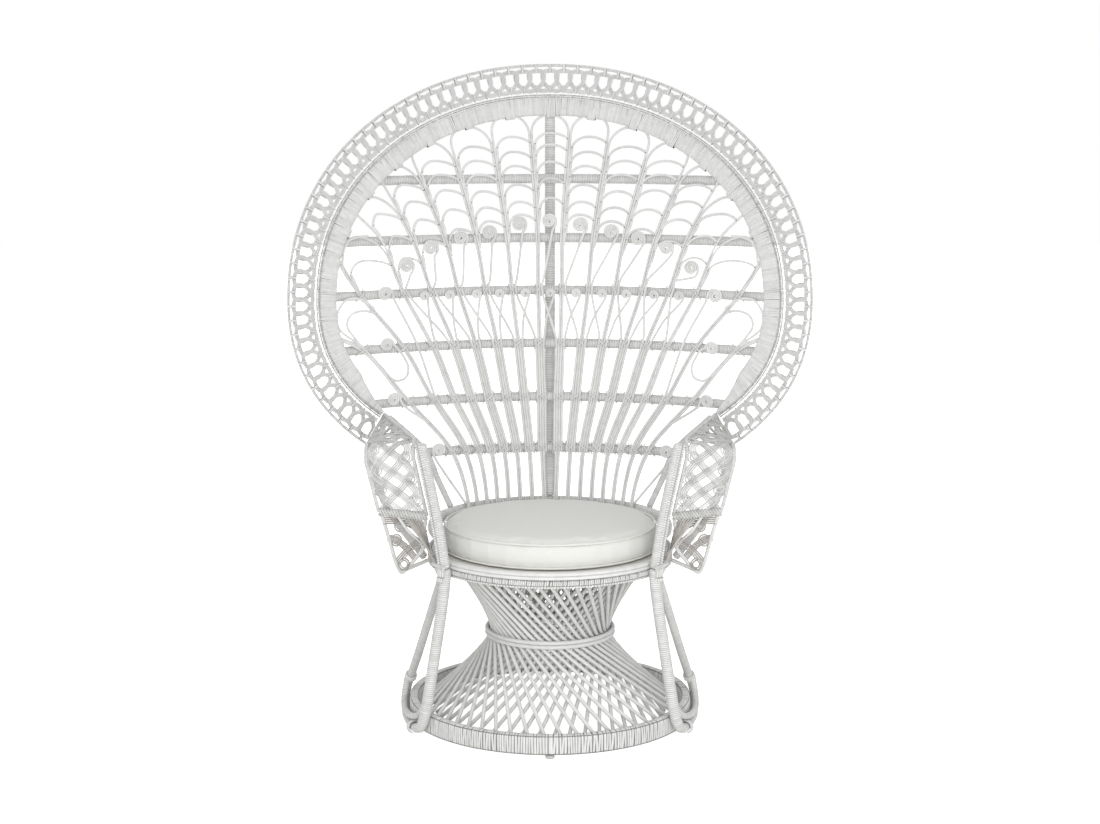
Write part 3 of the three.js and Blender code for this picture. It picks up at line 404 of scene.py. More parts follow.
def startMaterial(name):
    material = bpy.data.materials.new(name)
    material.use_nodes = True
    tree = material.node_tree
    tree.nodes.clear()
    return material, tree


def endMaterial(tree, sockets):
    shader = addNode(tree, "ShaderNodeBsdfPrincipled", sockets)[0]
    addNode(tree, "ShaderNodeOutputMaterial", {"Surface": shader})


brushing = {
    "patchFrom": 0.45, "patchTo": 0.75,  # of the coat's noise
    # The dark line in a crease is painted shade.
    "creaseShadePower": 2.2,  # narrows the dark line in a crease
    "glossDip": 0.06, "glossRise": 0.08, "coatStrength": 0.15,
    "grainDepth": 0.4, "coatDepth": 0.8,  # mm
}


# Satin white paint brushed over rattan. It fills the grain of the skin and lies a little
# uneven, which breaks up the gloss. Its creases are greyed: painted shade.
def makePaint(name, look):
    material, tree = startMaterial(name)
    girth, along, crease, tone = (
        addNode(tree, "ShaderNodeAttribute", attribute_name=kept)["Vector" if kept == "girth" else "Fac"]
        for kept in ("girth", "along", "crease", "tone"))
    where = addNode(tree, "ShaderNodeTexCoord")["Object"]
    run = addNode(tree, "ShaderNodeMath", {0: along, 1: look["grainRun"]}, operation="MULTIPLY")[0]
    run = addNode(tree, "ShaderNodeCombineXYZ", {"Z": run})[0]
    skin = addNode(tree, "ShaderNodeVectorMath", {0: girth, 1: (look["grainRound"],) * 3, 2: run},
                   operation="MULTIPLY_ADD")[0]
    grain = addNode(tree, "ShaderNodeTexNoise", {
        "Vector": skin, "Scale": 1.0, "Detail": 3.0, "Roughness": 0.6})["Fac"]
    coat = addNode(tree, "ShaderNodeTexNoise", {
        "Vector": where, "Scale": look["coatScale"], "Detail": 2.0})["Fac"]
    patchy = addNode(tree, "ShaderNodeMapRange", {
        "Value": coat, "From Min": brushing["patchFrom"], "From Max": brushing["patchTo"],
        "To Max": look["patchiness"]})[0]
    # Painted shade: the crease mark, narrowed, greys the colour towards the crease colour.
    depth = addNode(tree, "ShaderNodeMath", {0: crease, 1: brushing["creaseShadePower"]}, operation="POWER")[0]
    depth = addNode(tree, "ShaderNodeMath", {0: depth, 1: look["creaseShadeShare"]}, operation="MULTIPLY")[0]
    color = hexColor(look["color"])
    for share, other in ((tone, "otherColor"), (patchy, "shadeColor"), (depth, "creaseShadeColor")):
        color = addNode(tree, "ShaderNodeMix", {0: share, 6: color, 7: hexColor(look[other])},
                        data_type="RGBA")[2]
    gloss = addNode(tree, "ShaderNodeMapRange", {
        "Value": coat, "To Min": look["roughness"] - brushing["glossDip"],
        "To Max": look["roughness"] + brushing["glossRise"]})[0]
    relief = addNode(tree, "ShaderNodeBump", {
        "Height": grain, "Strength": look["grainStrength"], "Distance": brushing["grainDepth"] * mm})[0]
    relief = addNode(tree, "ShaderNodeBump", {
        "Height": coat, "Strength": brushing["coatStrength"], "Distance": brushing["coatDepth"] * mm,
        "Normal": relief})[0]
    endMaterial(tree, {"Base Color": color, "Roughness": gloss, "Normal": relief,
                       "Specular IOR Level": look["specular"]})
    return material


# Each look's crease colour is painted shade, laid where wraps and strips meet.
rattanLook = {
    "color": "#E4E4E3", "otherColor": "#DADAD9", "shadeColor": "#CDCDCB", "creaseShadeColor": "#6A6A68",
    "creaseShadeShare": 0.75, "patchiness": 0.55, "roughness": 0.56, "specular": 0.3,
    "coatScale": 55.0,  # patches of about 18 mm
    "grainRound": 6.0,  # streaks round the cane, drawn about twice as coarse as the real ones
    "grainRun": 28.0,  # and each about 35 mm long
    "grainStrength": 0.2,
}
peelLook = {
    "color": "#E6E6E5", "otherColor": "#D8D8D7", "shadeColor": "#CBCBC9", "creaseShadeColor": "#626260",
    "creaseShadeShare": 0.85, "patchiness": 0.5, "roughness": 0.52, "specular": 0.35,
    "coatScale": 90.0,
    "grainRound": 2.0, "grainRun": 900.0,  # the grain of a wound strip runs round the pole
    "grainStrength": 0.3,
}
paintedRattan = makePaint("satin painted rattan", rattanLook)
paintedPeel = makePaint("satin painted peel", peelLook)
# The cores under the wraps are dark grey: painted shade, seen in the gaps between the wraps.
shadedCore = makePaint("painted core under the peel", {
    **peelLook, "color": "#8E8E8C", "otherColor": "#868684", "shadeColor": "#787876"})

# Strands of the woven arms differ in tone at random, which keeps them apart, and this peel is
# darker than the rest: together painted shade between the strands, here and on the inner rim.
shadedPeel = makePaint("painted peel of the woven arms", {
    **peelLook, "color": "#DCDCDB", "otherColor": "#BEBEBC", "shadeColor": "#B4B4B2"})

# Under the arms the paint is darker and warmer grey: painted shade, where the arms shade the brackets.
paintedShadeUnderArms = makePaint("thin paint under the arms", {
    **peelLook, "color": "#C4C0BC", "otherColor": "#A8A4A0", "shadeColor": "#98948F"})

woodLook = {
    "color": "#DAD8D2", "shadeColor": "#C4C1B8", "roughness": 0.62,
    "grainScale": 14.0, "grainStretch": 9.0,  # grain bands run along x
    "grainStrength": 0.4, "grainDepth": 0.5,  # mm
}


# Matt white paint on sawn softwood: long bands of grain show through it.
def makeWood(look):
    material, tree = startMaterial("matt painted softwood")
    where = addNode(tree, "ShaderNodeTexCoord")["Object"]
    long = addNode(tree, "ShaderNodeMapping", {
        "Vector": where, "Scale": (1.0, look["grainStretch"], look["grainStretch"])})[0]
    grain = addNode(tree, "ShaderNodeTexNoise", {
        "Vector": long, "Scale": look["grainScale"], "Detail": 4.0, "Distortion": 0.6})["Fac"]
    color = addNode(tree, "ShaderNodeMix", {
        0: grain, 6: hexColor(look["color"]), 7: hexColor(look["shadeColor"])}, data_type="RGBA")[2]
    relief = addNode(tree, "ShaderNodeBump", {
        "Height": grain, "Strength": look["grainStrength"], "Distance": look["grainDepth"] * mm})[0]
    endMaterial(tree, {"Base Color": color, "Roughness": look["roughness"], "Normal": relief})
    return material


clothLook = {
    "color": "#E4E4E1", "threadColor": "#D8D8D3", "roughness": 0.8, "sheen": 0.25,
    "threadPitch": 1.6,  # mm; the real thread, about 0.5 mm, wouldn't show
    "threadHeight": 0.35,  # against the slubs
    "slubScale": 160.0, "toothStrength": 0.25, "toothDepth": 0.3,
}


# Plain woven polycotton: crossed threads give a fine soft tooth, and its sheen lights the rims.
def makeCloth(look):
    material, tree = startMaterial("plain woven cloth")
    uv = addNode(tree, "ShaderNodeUVMap", uv_map="cloth")[0]
    parts = addNode(tree, "ShaderNodeSeparateXYZ", {"Vector": uv})
    threads = []
    for axis in ("X", "Y"):
        turns = addNode(tree, "ShaderNodeMath", {
            0: parts[axis], 1: 2 * math.pi / (look["threadPitch"] * mm)}, operation="MULTIPLY")[0]
        threads.append(addNode(tree, "ShaderNodeMath", {0: turns}, operation="SINE")[0])
    weave = addNode(tree, "ShaderNodeMath", {0: threads[0], 1: threads[1]}, operation="MULTIPLY")[0]
    slub = addNode(tree, "ShaderNodeTexNoise", {
        "Vector": uv, "Scale": look["slubScale"], "Detail": 3.0})["Fac"]
    height = addNode(tree, "ShaderNodeMath", {0: weave, 1: look["threadHeight"], 2: slub},
                     operation="MULTIPLY_ADD")[0]
    shade = addNode(tree, "ShaderNodeMapRange", {
        "Value": height, "From Min": 0.1, "From Max": 0.9, "To Max": 0.5})[0]
    color = addNode(tree, "ShaderNodeMix", {
        0: shade, 6: hexColor(look["color"]), 7: hexColor(look["threadColor"])}, data_type="RGBA")[2]
    relief = addNode(tree, "ShaderNodeBump", {
        "Height": height, "Strength": look["toothStrength"], "Distance": look["toothDepth"] * mm})[0]
    endMaterial(tree, {"Base Color": color, "Roughness": look["roughness"], "Normal": relief,
                       "Sheen Weight": look["sheen"], "Sheen Roughness": 0.5})
    return material


rubberLook = {"color": "#C9C9C6", "shadeColor": "#AFAFAB", "roughness": 0.7, "metallic": 0.0,
              "scuffScale": 300.0}
nailLook = {"color": "#8F8F8C", "shadeColor": "#5E5E5B", "roughness": 0.5, "metallic": 0.6,
            "scuffScale": 900.0}


# A small moulded or struck thing, its colour broken by fine scuffs.
def makeScuffed(name, look):
    material, tree = startMaterial(name)
    where = addNode(tree, "ShaderNodeTexCoord")["Object"]
    scuff = addNode(tree, "ShaderNodeTexNoise", {
        "Vector": where, "Scale": look["scuffScale"], "Detail": 3.0})["Fac"]
    color = addNode(tree, "ShaderNodeMix", {
        0: scuff, 6: hexColor(look["color"]), 7: hexColor(look["shadeColor"])}, data_type="RGBA")[2]
    endMaterial(tree, {"Base Color": color, "Roughness": look["roughness"],
                       "Metallic": look["metallic"]})
    return material


paintedWood = makeWood(woodLook)
wovenCloth = makeCloth(clothLook)
paleRubber = makeScuffed("moulded pale rubber", rubberLook)
nailSteel = makeScuffed("blued steel of the nails", nailLook)
say("materials")

# Sizes that the pieces share, as the solids have them

fan = {
    "lean": 8.5, "bowReach": 314.4, "bowWidth": 419.2, "halfWidth": 609, "middleZ": 960,
    "crownHeight": 542, "fallDepth": 478, "squareness": 2.15, "endAngle": 128.5, "footZ": 460,
    "footY": 272.0,
}
fanRise = math.tan(math.radians(fan["lean"]))
bandStart, bandStop = 83.1, 125.6  # of the wrapped band, inwards from the fan's outline
seat = {"radius": 282, "deckTop": 400.7, "railTop": 464, "railRadius": 271, "stakeRadius": 257.3}
rodHeights = (1228, 1086, 960, 832, 703, 580)
clearHalf = fan["halfWidth"] - bandStop


def fanY(x, z):
    bow = fan["bowReach"] * (np.hypot(1, x / fan["bowWidth"]) - 1)
    return fan["footY"] + (z - fan["footZ"]) * fanRise - bow


def fanNormal(x):
    x = np.asarray(x, float)
    slope = -fan["bowReach"] * x / (fan["bowWidth"] ** 2 * np.hypot(1, x / fan["bowWidth"]))
    return unit(np.stack([slope, -np.ones_like(x), np.full_like(x, fanRise)], -1))


def onFan(x, z, out=0.0):
    x, z = np.broadcast_arrays(np.asarray(x, float), np.asarray(z, float))
    return np.stack([x, fanY(x, z), z], -1) + fanNormal(x) * np.asarray(out, float)[..., None]


def outlineTable():
    turns = np.radians(np.linspace(-fan["endAngle"], fan["endAngle"], 1601))
    tall = np.where(np.cos(turns) > 0, fan["crownHeight"], fan["fallDepth"])
    power = fan["squareness"]
    reach = (np.abs(np.sin(turns) / fan["halfWidth"]) ** power
             + np.abs(np.cos(turns) / tall) ** power) ** (-1 / power)
    return onFan(reach * np.sin(turns), fan["middleZ"] + reach * np.cos(turns))


outline = outlineTable()
outlineRun = lengthsAlong(outline)
outlineLength = outlineRun[-1]
outlineWays = waysAlong(outline)


def alongOutline(table, share):
    at = np.asarray(share, float) * outlineLength
    return np.stack([np.interp(at, outlineRun, table[:, i]) for i in range(3)], -1)


def onBorder(share, inset, out=0.0):
    p = alongOutline(outline, share)
    way = unit(alongOutline(outlineWays, share))
    inward = unit(np.cross(fanNormal(p[..., 0]), way))
    q = p - inward * np.asarray(inset, float)[..., None]
    return onFan(q[..., 0], q[..., 2], out)


def bandDepth(share):
    fromEnd = np.minimum(share, 1 - np.asarray(share)) * outlineLength
    return mix(9.0, bandStop - bandStart, np.clip(fromEnd / 135, 0, 1))


bandShares = np.linspace(0, 1, 1601)
bandEdge = onBorder(bandShares, bandStart + bandDepth(bandShares))


def bandShareNear(x, z):
    return bandShares[np.argmin(np.hypot(bandEdge[:, 0] - x, bandEdge[:, 2] - z))]


def clearHalfWidth(z):
    right = bandEdge[bandEdge[:, 0] > 0]
    return right[np.argmin(np.abs(right[:, 2] - z)), 0]


# Stakes of the back, with their arches and scrolls

stake = {
    "caneRadius": 2.9, "railFirst": 14.2, "railPitch": 29.6,
    "firstShares": (0, 0.0621, 0.059, 0.0517, 0.0424, 0.0393),
    "pitchShares": (0, 0.1541, 0.1324, 0.1067, 0.0877, 0.0645),
    "flareShares": (0, 0, 0.0703, 0.029, 0.0103, 0),
    "heads": ((0.1055, 1.0038), (0.3103, 0.9846), (0.5213, 0.9246), (0.7075, 0.8045),
              (0.8523, 0.6604), (0.9516, 0.4563), (0.9992, 0.1993), (0.9806, -0.178)),
    "splitFall": 46,  # from the crown of the top arches to where a pair parts
    "stub": 13,  # of the outer canes below the lowest rod
}
archTops = (
    (1380, 1336, 1308, 1267, 1228, 1180), (1380, 1327, 1291, 1257, 1212, 1171, 1140),
    (1351, 1304, 1270, 1237, 1197, 1158, 1125), (1315, 1271, 1238, 1201, 1155, 1108),
    (1261, 1216, 1176, 1133, 1081), (1189, 1149, 1096, 1044), (1097, 1041),
)
arch = {"rise": 31, "run": 34, "radius": 2.95, "landing": 14}
scroll = {"radius": 16.4, "turns": 2.75, "smallRadius": 10.6, "smallTurns": 1.85, "cane": 3.1, "eye": 1.7}


def heightAt(share):
    tall = fan["crownHeight"] - bandStop
    return fan["middleZ"] + share * (tall if share > 0 else fan["middleZ"] - fan["footZ"])


# The middle line of a stake, from the deck to the band, and the way that it faces.
def stakeLine(place):
    side, k = (1 if place > 0 else -1), abs(place) - 1
    turn = (stake["railFirst"] + stake["railPitch"] * k) / seat["stakeRadius"]

    def foot(z):
        return vec(side * seat["stakeRadius"] * math.sin(turn), seat["stakeRadius"] * math.cos(turn), z)

    across, up = stake["heads"][k]
    head = onBorder(bandShareNear(side * across * clearHalf, heightAt(up)), bandStop - 8)
    keys = [foot(seat["deckTop"]), foot(seat["railTop"] + 5.6)]
    for row in (5, 4, 3, 2, 1):
        outer = max(0, k - 5)
        x = side * clearHalf * (stake["firstShares"][row] + stake["pitchShares"][row] * k
                                + stake["flareShares"][row] * outer**2)
        if rodHeights[row] < head[2] - 31:
            keys.append(onFan(x, rodHeights[row]))
    keys.append(head)
    line = smoothPath(keys, 6)
    onRail = easeBetween(line[:, 2], seat["railTop"], rodHeights[-1])[:, None]
    footFace = vec(-side * math.sin(turn), -math.cos(turn), 0)
    return line, unit(mix(footFace, fanNormal(line[:, 0]), onRail))


places = [*range(-8, 0), *range(1, 9)]
stakeLines = {place: stakeLine(place) for place in places}


def stakeX(place, z):
    line = stakeLines[place][0]
    return np.interp(z, line[:, 2], line[:, 0])


def uprightRun(place, offset, low, high, out=0.0):
    line, faces = stakeLines[place]
    run = beside(line, faces, [offset])[0] + faces * out
    kept = (line[:, 2] > low) & (line[:, 2] < high)
    return run[kept]


def fanPath(xs, zs, out=0.0):
    return onFan(np.array(xs, float), np.array(zs, float), out)


def spiral(x, z, radius, turns, sense=1):
    share = np.linspace(0, 1, int(26 * turns))
    turn = 2 * math.pi * turns * (1 - share)
    r = mix(scroll["eye"], radius, share)
    return np.stack([x + sense * r * np.cos(turn), z + r * np.sin(turn)], 1)


def gapStakes(gap):
    return places[gap], places[gap + 1]


# Canes that every stake and gap is made of, grouped by the CAD node that they stand for.
stakeCanes = {place: [] for place in places}
nailSpots = []
gapCount = len(places) - 1
r = stake["caneRadius"]


def gapTops(gap):
    number = abs(gap - 7)
    return archTops[number] if number < len(archTops) else ()


for index, place in enumerate(places):
    head = stakeLines[place][0][-1, 2]
    for hand, gap in ((-1, index - 1), (1, index)):  # its left cane, then its right one
        tops = gapTops(gap) if 0 <= gap < gapCount else ()
        if not tops:
            run = uprightRun(place, hand * r, 0, head + 50)
            stakeCanes[place].append(cane(run, r))
            continue
        other = places[gap if hand < 0 else gap + 1]
        split = tops[0] - stake["splitFall"]
        run = uprightRun(place, hand * r, 0, split)
        turns = np.linspace(0, math.pi / 2, 14)[1:]
        zs = split + stake["splitFall"] * np.sin(turns)
        here, there = stakeX(place, zs) + hand * r, stakeX(other, zs) - hand * r
        xs = mix(here, there, (1 - np.cos(turns)) / 2)
        stakeCanes[place].append(cane(np.vstack([run, fanPath(xs, zs)]), r))

# A lower arch leaves the left stake upright and lands aslant on the right one, on a nail.
for gap in range(gapCount):
    left, right = gapStakes(gap)
    for top in gapTops(gap)[1:]:
        start, end = top - arch["rise"], top - arch["landing"]
        middle = (stakeX(left, top) + stakeX(right, top)) / 2
        turns = np.linspace(math.pi, math.asin((end - start) / arch["rise"]), 18)
        zs = start + arch["rise"] * np.sin(turns)
        reachLeft = middle - stakeX(left, start) - 2 * r - arch["radius"]
        reachRight = (stakeX(right, end) - 1.2 * r - middle) / math.cos(turns[-1])
        xs = middle + np.cos(turns) * np.where(turns > math.pi / 2, reachLeft, reachRight)
        lowZ = np.linspace(start - arch["run"], start, 7)[:-1]
        swing = easeBetween(lowZ, lowZ[0], lowZ[-1])
        lowX = stakeX(left, lowZ) + mix(1.6 * r, 2 * r + arch["radius"], swing)
        line = fanPath(np.concatenate([lowX, xs]), np.concatenate([lowZ, zs]), 0.8)
        stakeCanes[left].append(cane(line, arch["radius"]))
        for p in (line[7], line[-1]):
            head = onFan(p[0], p[2], arch["radius"] + 0.9)
            nailSpots.append((head, vec(1, 0, 0), fanNormal(p[0]), (1.5, 1.5, 1.5)))

largeScrolls = {
    1: (-392, 961), 2: (-342, 1025), 3: (-286, 1065), 4: (-216, 1087), 5: (-148, 1098), 6: (-75, 1118),
    7: (-2, 1125), 8: (73, 1116), 9: (148, 1100), 10: (212, 1085), 11: (279, 1065), 12: (337, 1020),
    13: (392, 956),
}
smallScrolls = {
    2: (-302, 951), 3: (-243, 951), 4: (-179, 951), 5: (-124, 951), 6: (-61, 951), 7: (0, 951),
    8: (63, 951), 9: (126, 951), 10: (184, 951), 11: (250, 951), 12: (309, 951),
}
beyond = 3 * r  # from the middle of a stake to a cane that lies against its pair
rowThree, rowFour, _, rowSix = rodHeights[2:]

outerScroll = {"gaps": {1: 1, 13: -1}, "bend": (71, 844), "landing": 716}  # gap and its side
for gap, (x, z) in largeScrolls.items():
    left, right = gapStakes(gap)
    hand = outerScroll["gaps"].get(gap)
    coil = spiral(x, z, scroll["radius"], scroll["turns"], hand or 1)
    if hand:  # the outermost ones run straight down beside the last stakes but one
        beyondX, (bendX, bendZ), landing = hand * beyond, outerScroll["bend"], outerScroll["landing"]
        tail = smoothPath([coil[-1], (x + hand * 20, z - 12), (x + hand * bendX, bendZ),
                           (stakeX(-7 * hand, landing) + beyondX, landing)], 4)
        foot = uprightRun(-7 * hand, beyondX, rowSix - stake["stub"], landing - 4)[::-1]
    else:
        turnIn = min(rowThree + 8, z - 44)
        landing = min(rowFour, turnIn - 80)
        exitSpot = vec(x + scroll["radius"] * 0.55, z - scroll["radius"] * 1.25)
        bend = vec(stakeX(left, turnIn) + beyond + 4, turnIn + 18)
        tail = smoothPath([
            coil[-1], (x + scroll["radius"] * 0.93, z - scroll["radius"] * 0.6), exitSpot,
            mix(exitSpot, bend, 0.5), bend, (stakeX(left, turnIn) + beyond, turnIn),
            (stakeX(left, turnIn - 20) + beyond + 2, turnIn - 20),
            (stakeX(right, landing + 20) - beyond - 4, landing + 20),
            (stakeX(right, landing) - beyond, landing),
        ], 4)
        foot = uprightRun(right, -beyond, rowSix - stake["stub"], landing - 4)[::-1]
    line = np.vstack([fanPath(coil[:, 0], coil[:, 1], 1.0), fanPath(tail[1:, 0], tail[1:, 1], 0.6), foot])
    stakeCanes[left].append(cane(line, scroll["cane"]))

for gap, (x, z) in smallScrolls.items():
    left, right = gapStakes(gap)
    coil = spiral(x, z, scroll["smallRadius"], scroll["smallTurns"])
    keys = [
        coil[-1], (x + scroll["smallRadius"] * 0.85, z - scroll["smallRadius"] * 0.8),
        (mix(x, stakeX(left, rowFour) + beyond, 0.5), mix(z, rowFour, 0.5)),
        (stakeX(left, rowFour + 16) + beyond + 3, rowFour + 16),
        (stakeX(left, rowFour) + beyond, rowFour),
    ]
    tail = smoothPath(np.array(keys), 4)
    foot = uprightRun(left, beyond, rowSix - stake["stub"], rowFour - 4)[::-1]
    line = np.vstack([fanPath(coil[:, 0], coil[:, 1], 3.4), fanPath(tail[1:, 0], tail[1:, 1], 1.8), foot])
    stakeCanes[left].append(cane(line, scroll["cane"]))

# Scrolls and loops beside the outermost stakes
lowScrolls = {-1: ((-388, 841), (-372, 711), (-267, 584)), 1: ((385, 832), (374, 706), (279, 580))}
sideLoops = (
    ((430, 1097), (454, 1096), (474, 1088), (484, 1070), (488, 1045), (487, 1022), (477, 1001),
     (454, 973)),
    ((415, 927), (449, 952), (481, 950), (500, 919), (496, 886), (440, 838)),
    ((415, 916), (440, 924), (469, 916), (478, 891), (460, 860), (431, 823), (353, 714)),
)
hook = ((362, 829), (347, 806), (339, 785), (344, 762), (365, 755), (387, 770), (438, 833))
for side in (-1, 1):
    own = stakeCanes[side * 8]
    coils = [spiral(x, z, scroll["radius"] * 0.9, scroll["turns"], turn)
             for (x, z), turn in zip(lowScrolls[side], (-side, -side, side))]
    tails = [smoothPath([coils[0][-1], *((side * x, z) for x, z in hook)], 4)]
    end = coils[1][-1]
    tails.append(smoothPath([end, (end[0] - side * 5, end[1] - 12),
                             (stakeX(side * 8, end[1] - 62), end[1] - 62)], 4))
    for coil, tail in zip(coils, tails):
        line = [fanPath(coil[:, 0], coil[:, 1], 1.5), fanPath(tail[1:, 0], tail[1:, 1], 1)]
        own.append(cane(np.vstack(line), scroll["cane"]))
    coil = fanPath(coils[2][:, 0], coils[2][:, 1], 1.5)
    foot = uprightRun(side * 8, side * beyond, seat["railTop"], seat["railTop"] + 12)[0]
    tail = smoothPath([coil[-1], coil[-1] - vec(side * 2, 0, 12), foot], 4)[1:]
    own.append(cane(np.vstack([coil, tail]), scroll["cane"]))
    for keys in sideLoops:
        line = smoothPath([(side * x, z) for x, z in keys], 4)
        own.append(cane(fanPath(line[:, 0], line[:, 1], 2.0), scroll["cane"]))

# Crossed bindings of thin cane where the stakes pass the rods
binding = {"radius": 1.5, "halfHeight": 14.5, "depth": 14}
bindings = []
for place in places:
    for row in (2, 3, 4, 5):
        z = rodHeights[row]
        if z > stakeLines[place][0][-1, 2] - 20:
            continue
        wide = 2 * r + binding["radius"] if row == 2 else 4 * r + binding["radius"] - 0.5
        x = stakeX(place, z)
        up = binding["halfHeight"]
        for hand, lift in ((-1, 0.0), (1, 1.6)):
            local = ((-0.95, -1, -binding["depth"]), (-1, -0.8, -5), (-0.5, -0.4, r + 1.9 + lift),
                     (0.5, 0.4, r + 1.9 + lift), (1, 0.8, -5), (0.95, 1, -binding["depth"]))
            line = smoothPath([(x + hand * a * wide, z + b * up, n) for a, b, n in local], 3.5)
            bindings.append(cane(fanPath(line[:, 0], line[:, 1], line[:, 2]), binding["radius"]))

for place in places:
    side = "left" if place < 0 else "right"
    name = f"{side}{abs(place)}"
    roundPiece(f"stakeCanes_{name}", stakeCanes[place], f"fan_stake_{side}_{abs(place)}")
roundPiece("stakeBindings", bindings, sides=6)
say("stakes, arches and scrolls")

# Border of loops, its rims and the wrapped band

border = {
    "pitch": 34.2, "swing": 27.0, "height": 20.4, "middle": 37.0, "squareness": 0.72, "dip": 9.0,
    "strand": 1.38, "strands": (-4.2, -1.4, 1.4, 4.2), "wave": 2.0,
}


def squared(wave):
    return np.sign(wave) * np.abs(wave) ** border["squareness"]


def drawLoops():
    count = int(round(outlineLength / border["pitch"]))
    u = np.linspace(0, count, count * 44 + 1)
    run = u / count * outlineLength + border["swing"] * squared(np.sin(2 * math.pi * u))
    fall = np.cos(2 * math.pi * u)
    inset = border["middle"] + border["height"] * squared(fall) + border["dip"] * np.maximum(0, fall) ** 5
    smooth = vec(1, 2, 3, 2, 1) / 9
    run, inset = (np.convolve(np.pad(line, 2, "edge"), smooth, "valid") for line in (run, inset))
    run = np.clip(run, 0, outlineLength)
    across, down = np.gradient(run), np.gradient(inset)
    size = np.maximum(np.hypot(across, down), 1e-6)
    depth = border["wave"] * np.sin(2 * math.pi * u)
    lines = []
    for offset in border["strands"]:
        share = np.clip((run - down / size * offset) / outlineLength, 0, 1)
        lines.append(cane(onBorder(share, inset + across / size * offset, depth), border["strand"]))
    return lines, count


loops, loopCount = drawLoops()
roundPiece("borderLoops", loops, "fan_loop_border", sides=6)

rims = {
    "outerRadius": 1.9, "outerInsets": (1.9, 5.7), "innerRadius": 2.05, "innerInsets": (75.8, 80.5),
    "innerLift": 0.5, "nails": 110, "nailLift": 4.0, "nailSize": 0.9,
}
rimShares = np.linspace(0, 1, 700)
woundPiece("borderOuterRim", [cane(onBorder(rimShares, inset), rims["outerRadius"])
                              for inset in rims["outerInsets"]],
           "fan_outer_rim", slot="painted_peel", wrap=3.2, crease=0.35, uneven=0.2, sides=8)
# The inner rim takes the darker peel: painted shade between its canes.
woundPiece("borderInnerRim", [cane(onBorder(rimShares, inset, rims["innerLift"]), rims["innerRadius"])
                              for inset in rims["innerInsets"]],
           "fan_inner_rim", slot="painted_peel", finish=shadedPeel, wrap=3.2, crease=0.5, uneven=0.3,
           sides=8)

# Ties of peel between the loops: inset, width along the border, length across it, thickness
ties = {"Outer": (11.5, 6.2, 21, 8), "Inner": (61.5, 3.8, 20, 7.6)}
tieSpots = {name: [] for name in ties}
for i in range(loopCount):
    share = (i + 0.5) / loopCount
    for name, (inset, wide, _, _) in ties.items():
        p = onBorder(share, inset)
        inward = unit(onBorder(share, inset + 5) - p)
        tieSpots[name].append((p, inward, fanNormal(p[0]), (1, 1, wide * dice.uniform(0.85, 1.15))))
for name, (_, _, across, thickness) in ties.items():
    stripPiece(f"loopTies{name}", stripShape(across, thickness, 1.0, 0.5), tieSpots[name],
               slot="painted_peel")

for share in np.linspace(0.004, 0.996, rims["nails"]):
    for inset in rims["innerInsets"]:
        p = onBorder(share + dice.uniform(-0.001, 0.001), inset, rims["nailLift"])
        nailSpots.append((p, vec(1, 0, 0), fanNormal(p[0]), (rims["nailSize"],) * 3))

band = {
    "strip": 4.7, "length": 42.5, "thickness": 15.4, "lift": 1.1, "core": 5.6,
    "tabReach": 12.5, "tabLap": 4.5, "tabSwell": 0.07,  # where it laps over the crown of an arch
}
tabRuns = []
for gap in range(gapCount):
    tops = gapTops(gap)
    if tops:
        left, right = gapStakes(gap)
        middle = (stakeX(left, tops[0]) + stakeX(right, tops[0])) / 2
        tabRuns.append(bandShareNear(middle, tops[0]) * outlineLength)
tabRuns = np.array(tabRuns)

bandSpots, run = [], 2.0
while run < outlineLength - 2:
    strip = band["strip"] * dice.uniform(0.85, 1.15)
    share = (run + strip / 2) / outlineLength
    depth = bandDepth(share)
    tab = np.min(np.abs(tabRuns - run)) < band["tabReach"]
    reach = depth + (band["tabLap"] if tab else dice.uniform(-0.4, 0.4))
    p = onBorder(share, bandStart + reach / 2, dice.uniform(-0.25, 0.25))
    inward = unit(onBorder(share, bandStart + reach / 2 + 5) - p)
    tilt = dice.normal(0, 0.012)
    way = unit(alongOutline(outlineWays, share))
    bandSpots.append((p, inward + way * tilt, fanNormal(p[0]), (
        (reach - 0.4) / band["length"], 1 + (band["tabSwell"] if tab else 0), strip * 1.02)))
    run += strip + (dice.uniform(0.4, 1.2) if dice.random() < 0.1 else 0.0)
stripPiece("bandWraps", stripShape(band["length"], band["thickness"], band["lift"], 0.45), bandSpots,
           "fan_main_band")

# A dark grey core under the band's wraps: painted shade seen between them.
corners = ((0.05, 0.5), (0.2, 1), (0.8, 1), (0.95, 0.5))
corners += tuple((a, -n) for a, n in reversed(corners))
coreRings = [[onBorder(share, bandStart + a * bandDepth(share), n * band["core"]) for a, n in corners]
             for share in np.linspace(0.001, 0.999, 240)]
settle(makeMesh("bandCore", *loft(coreRings), shadedCore))
say("border and band")

# Rods, post, rail and struts behind the stakes

rod = {"depth": -15.6, "radius": 11.7, "past": 15, "lowestReach": 296.0, "wrap": 4.2}
for i, z in enumerate(rodHeights):
    reach = rod["lowestReach"] if i == 5 else clearHalfWidth(z) + rod["past"]
    xs = np.linspace(-reach, reach, int(reach / 5))
    rodLine = onFan(xs, np.full_like(xs, z), rod["depth"])
    woundPiece(f"crossRod_{i + 1}", [cane(rodLine, rod["radius"])], f"cross_rod_{i + 1}",
               wrap=rod["wrap"])

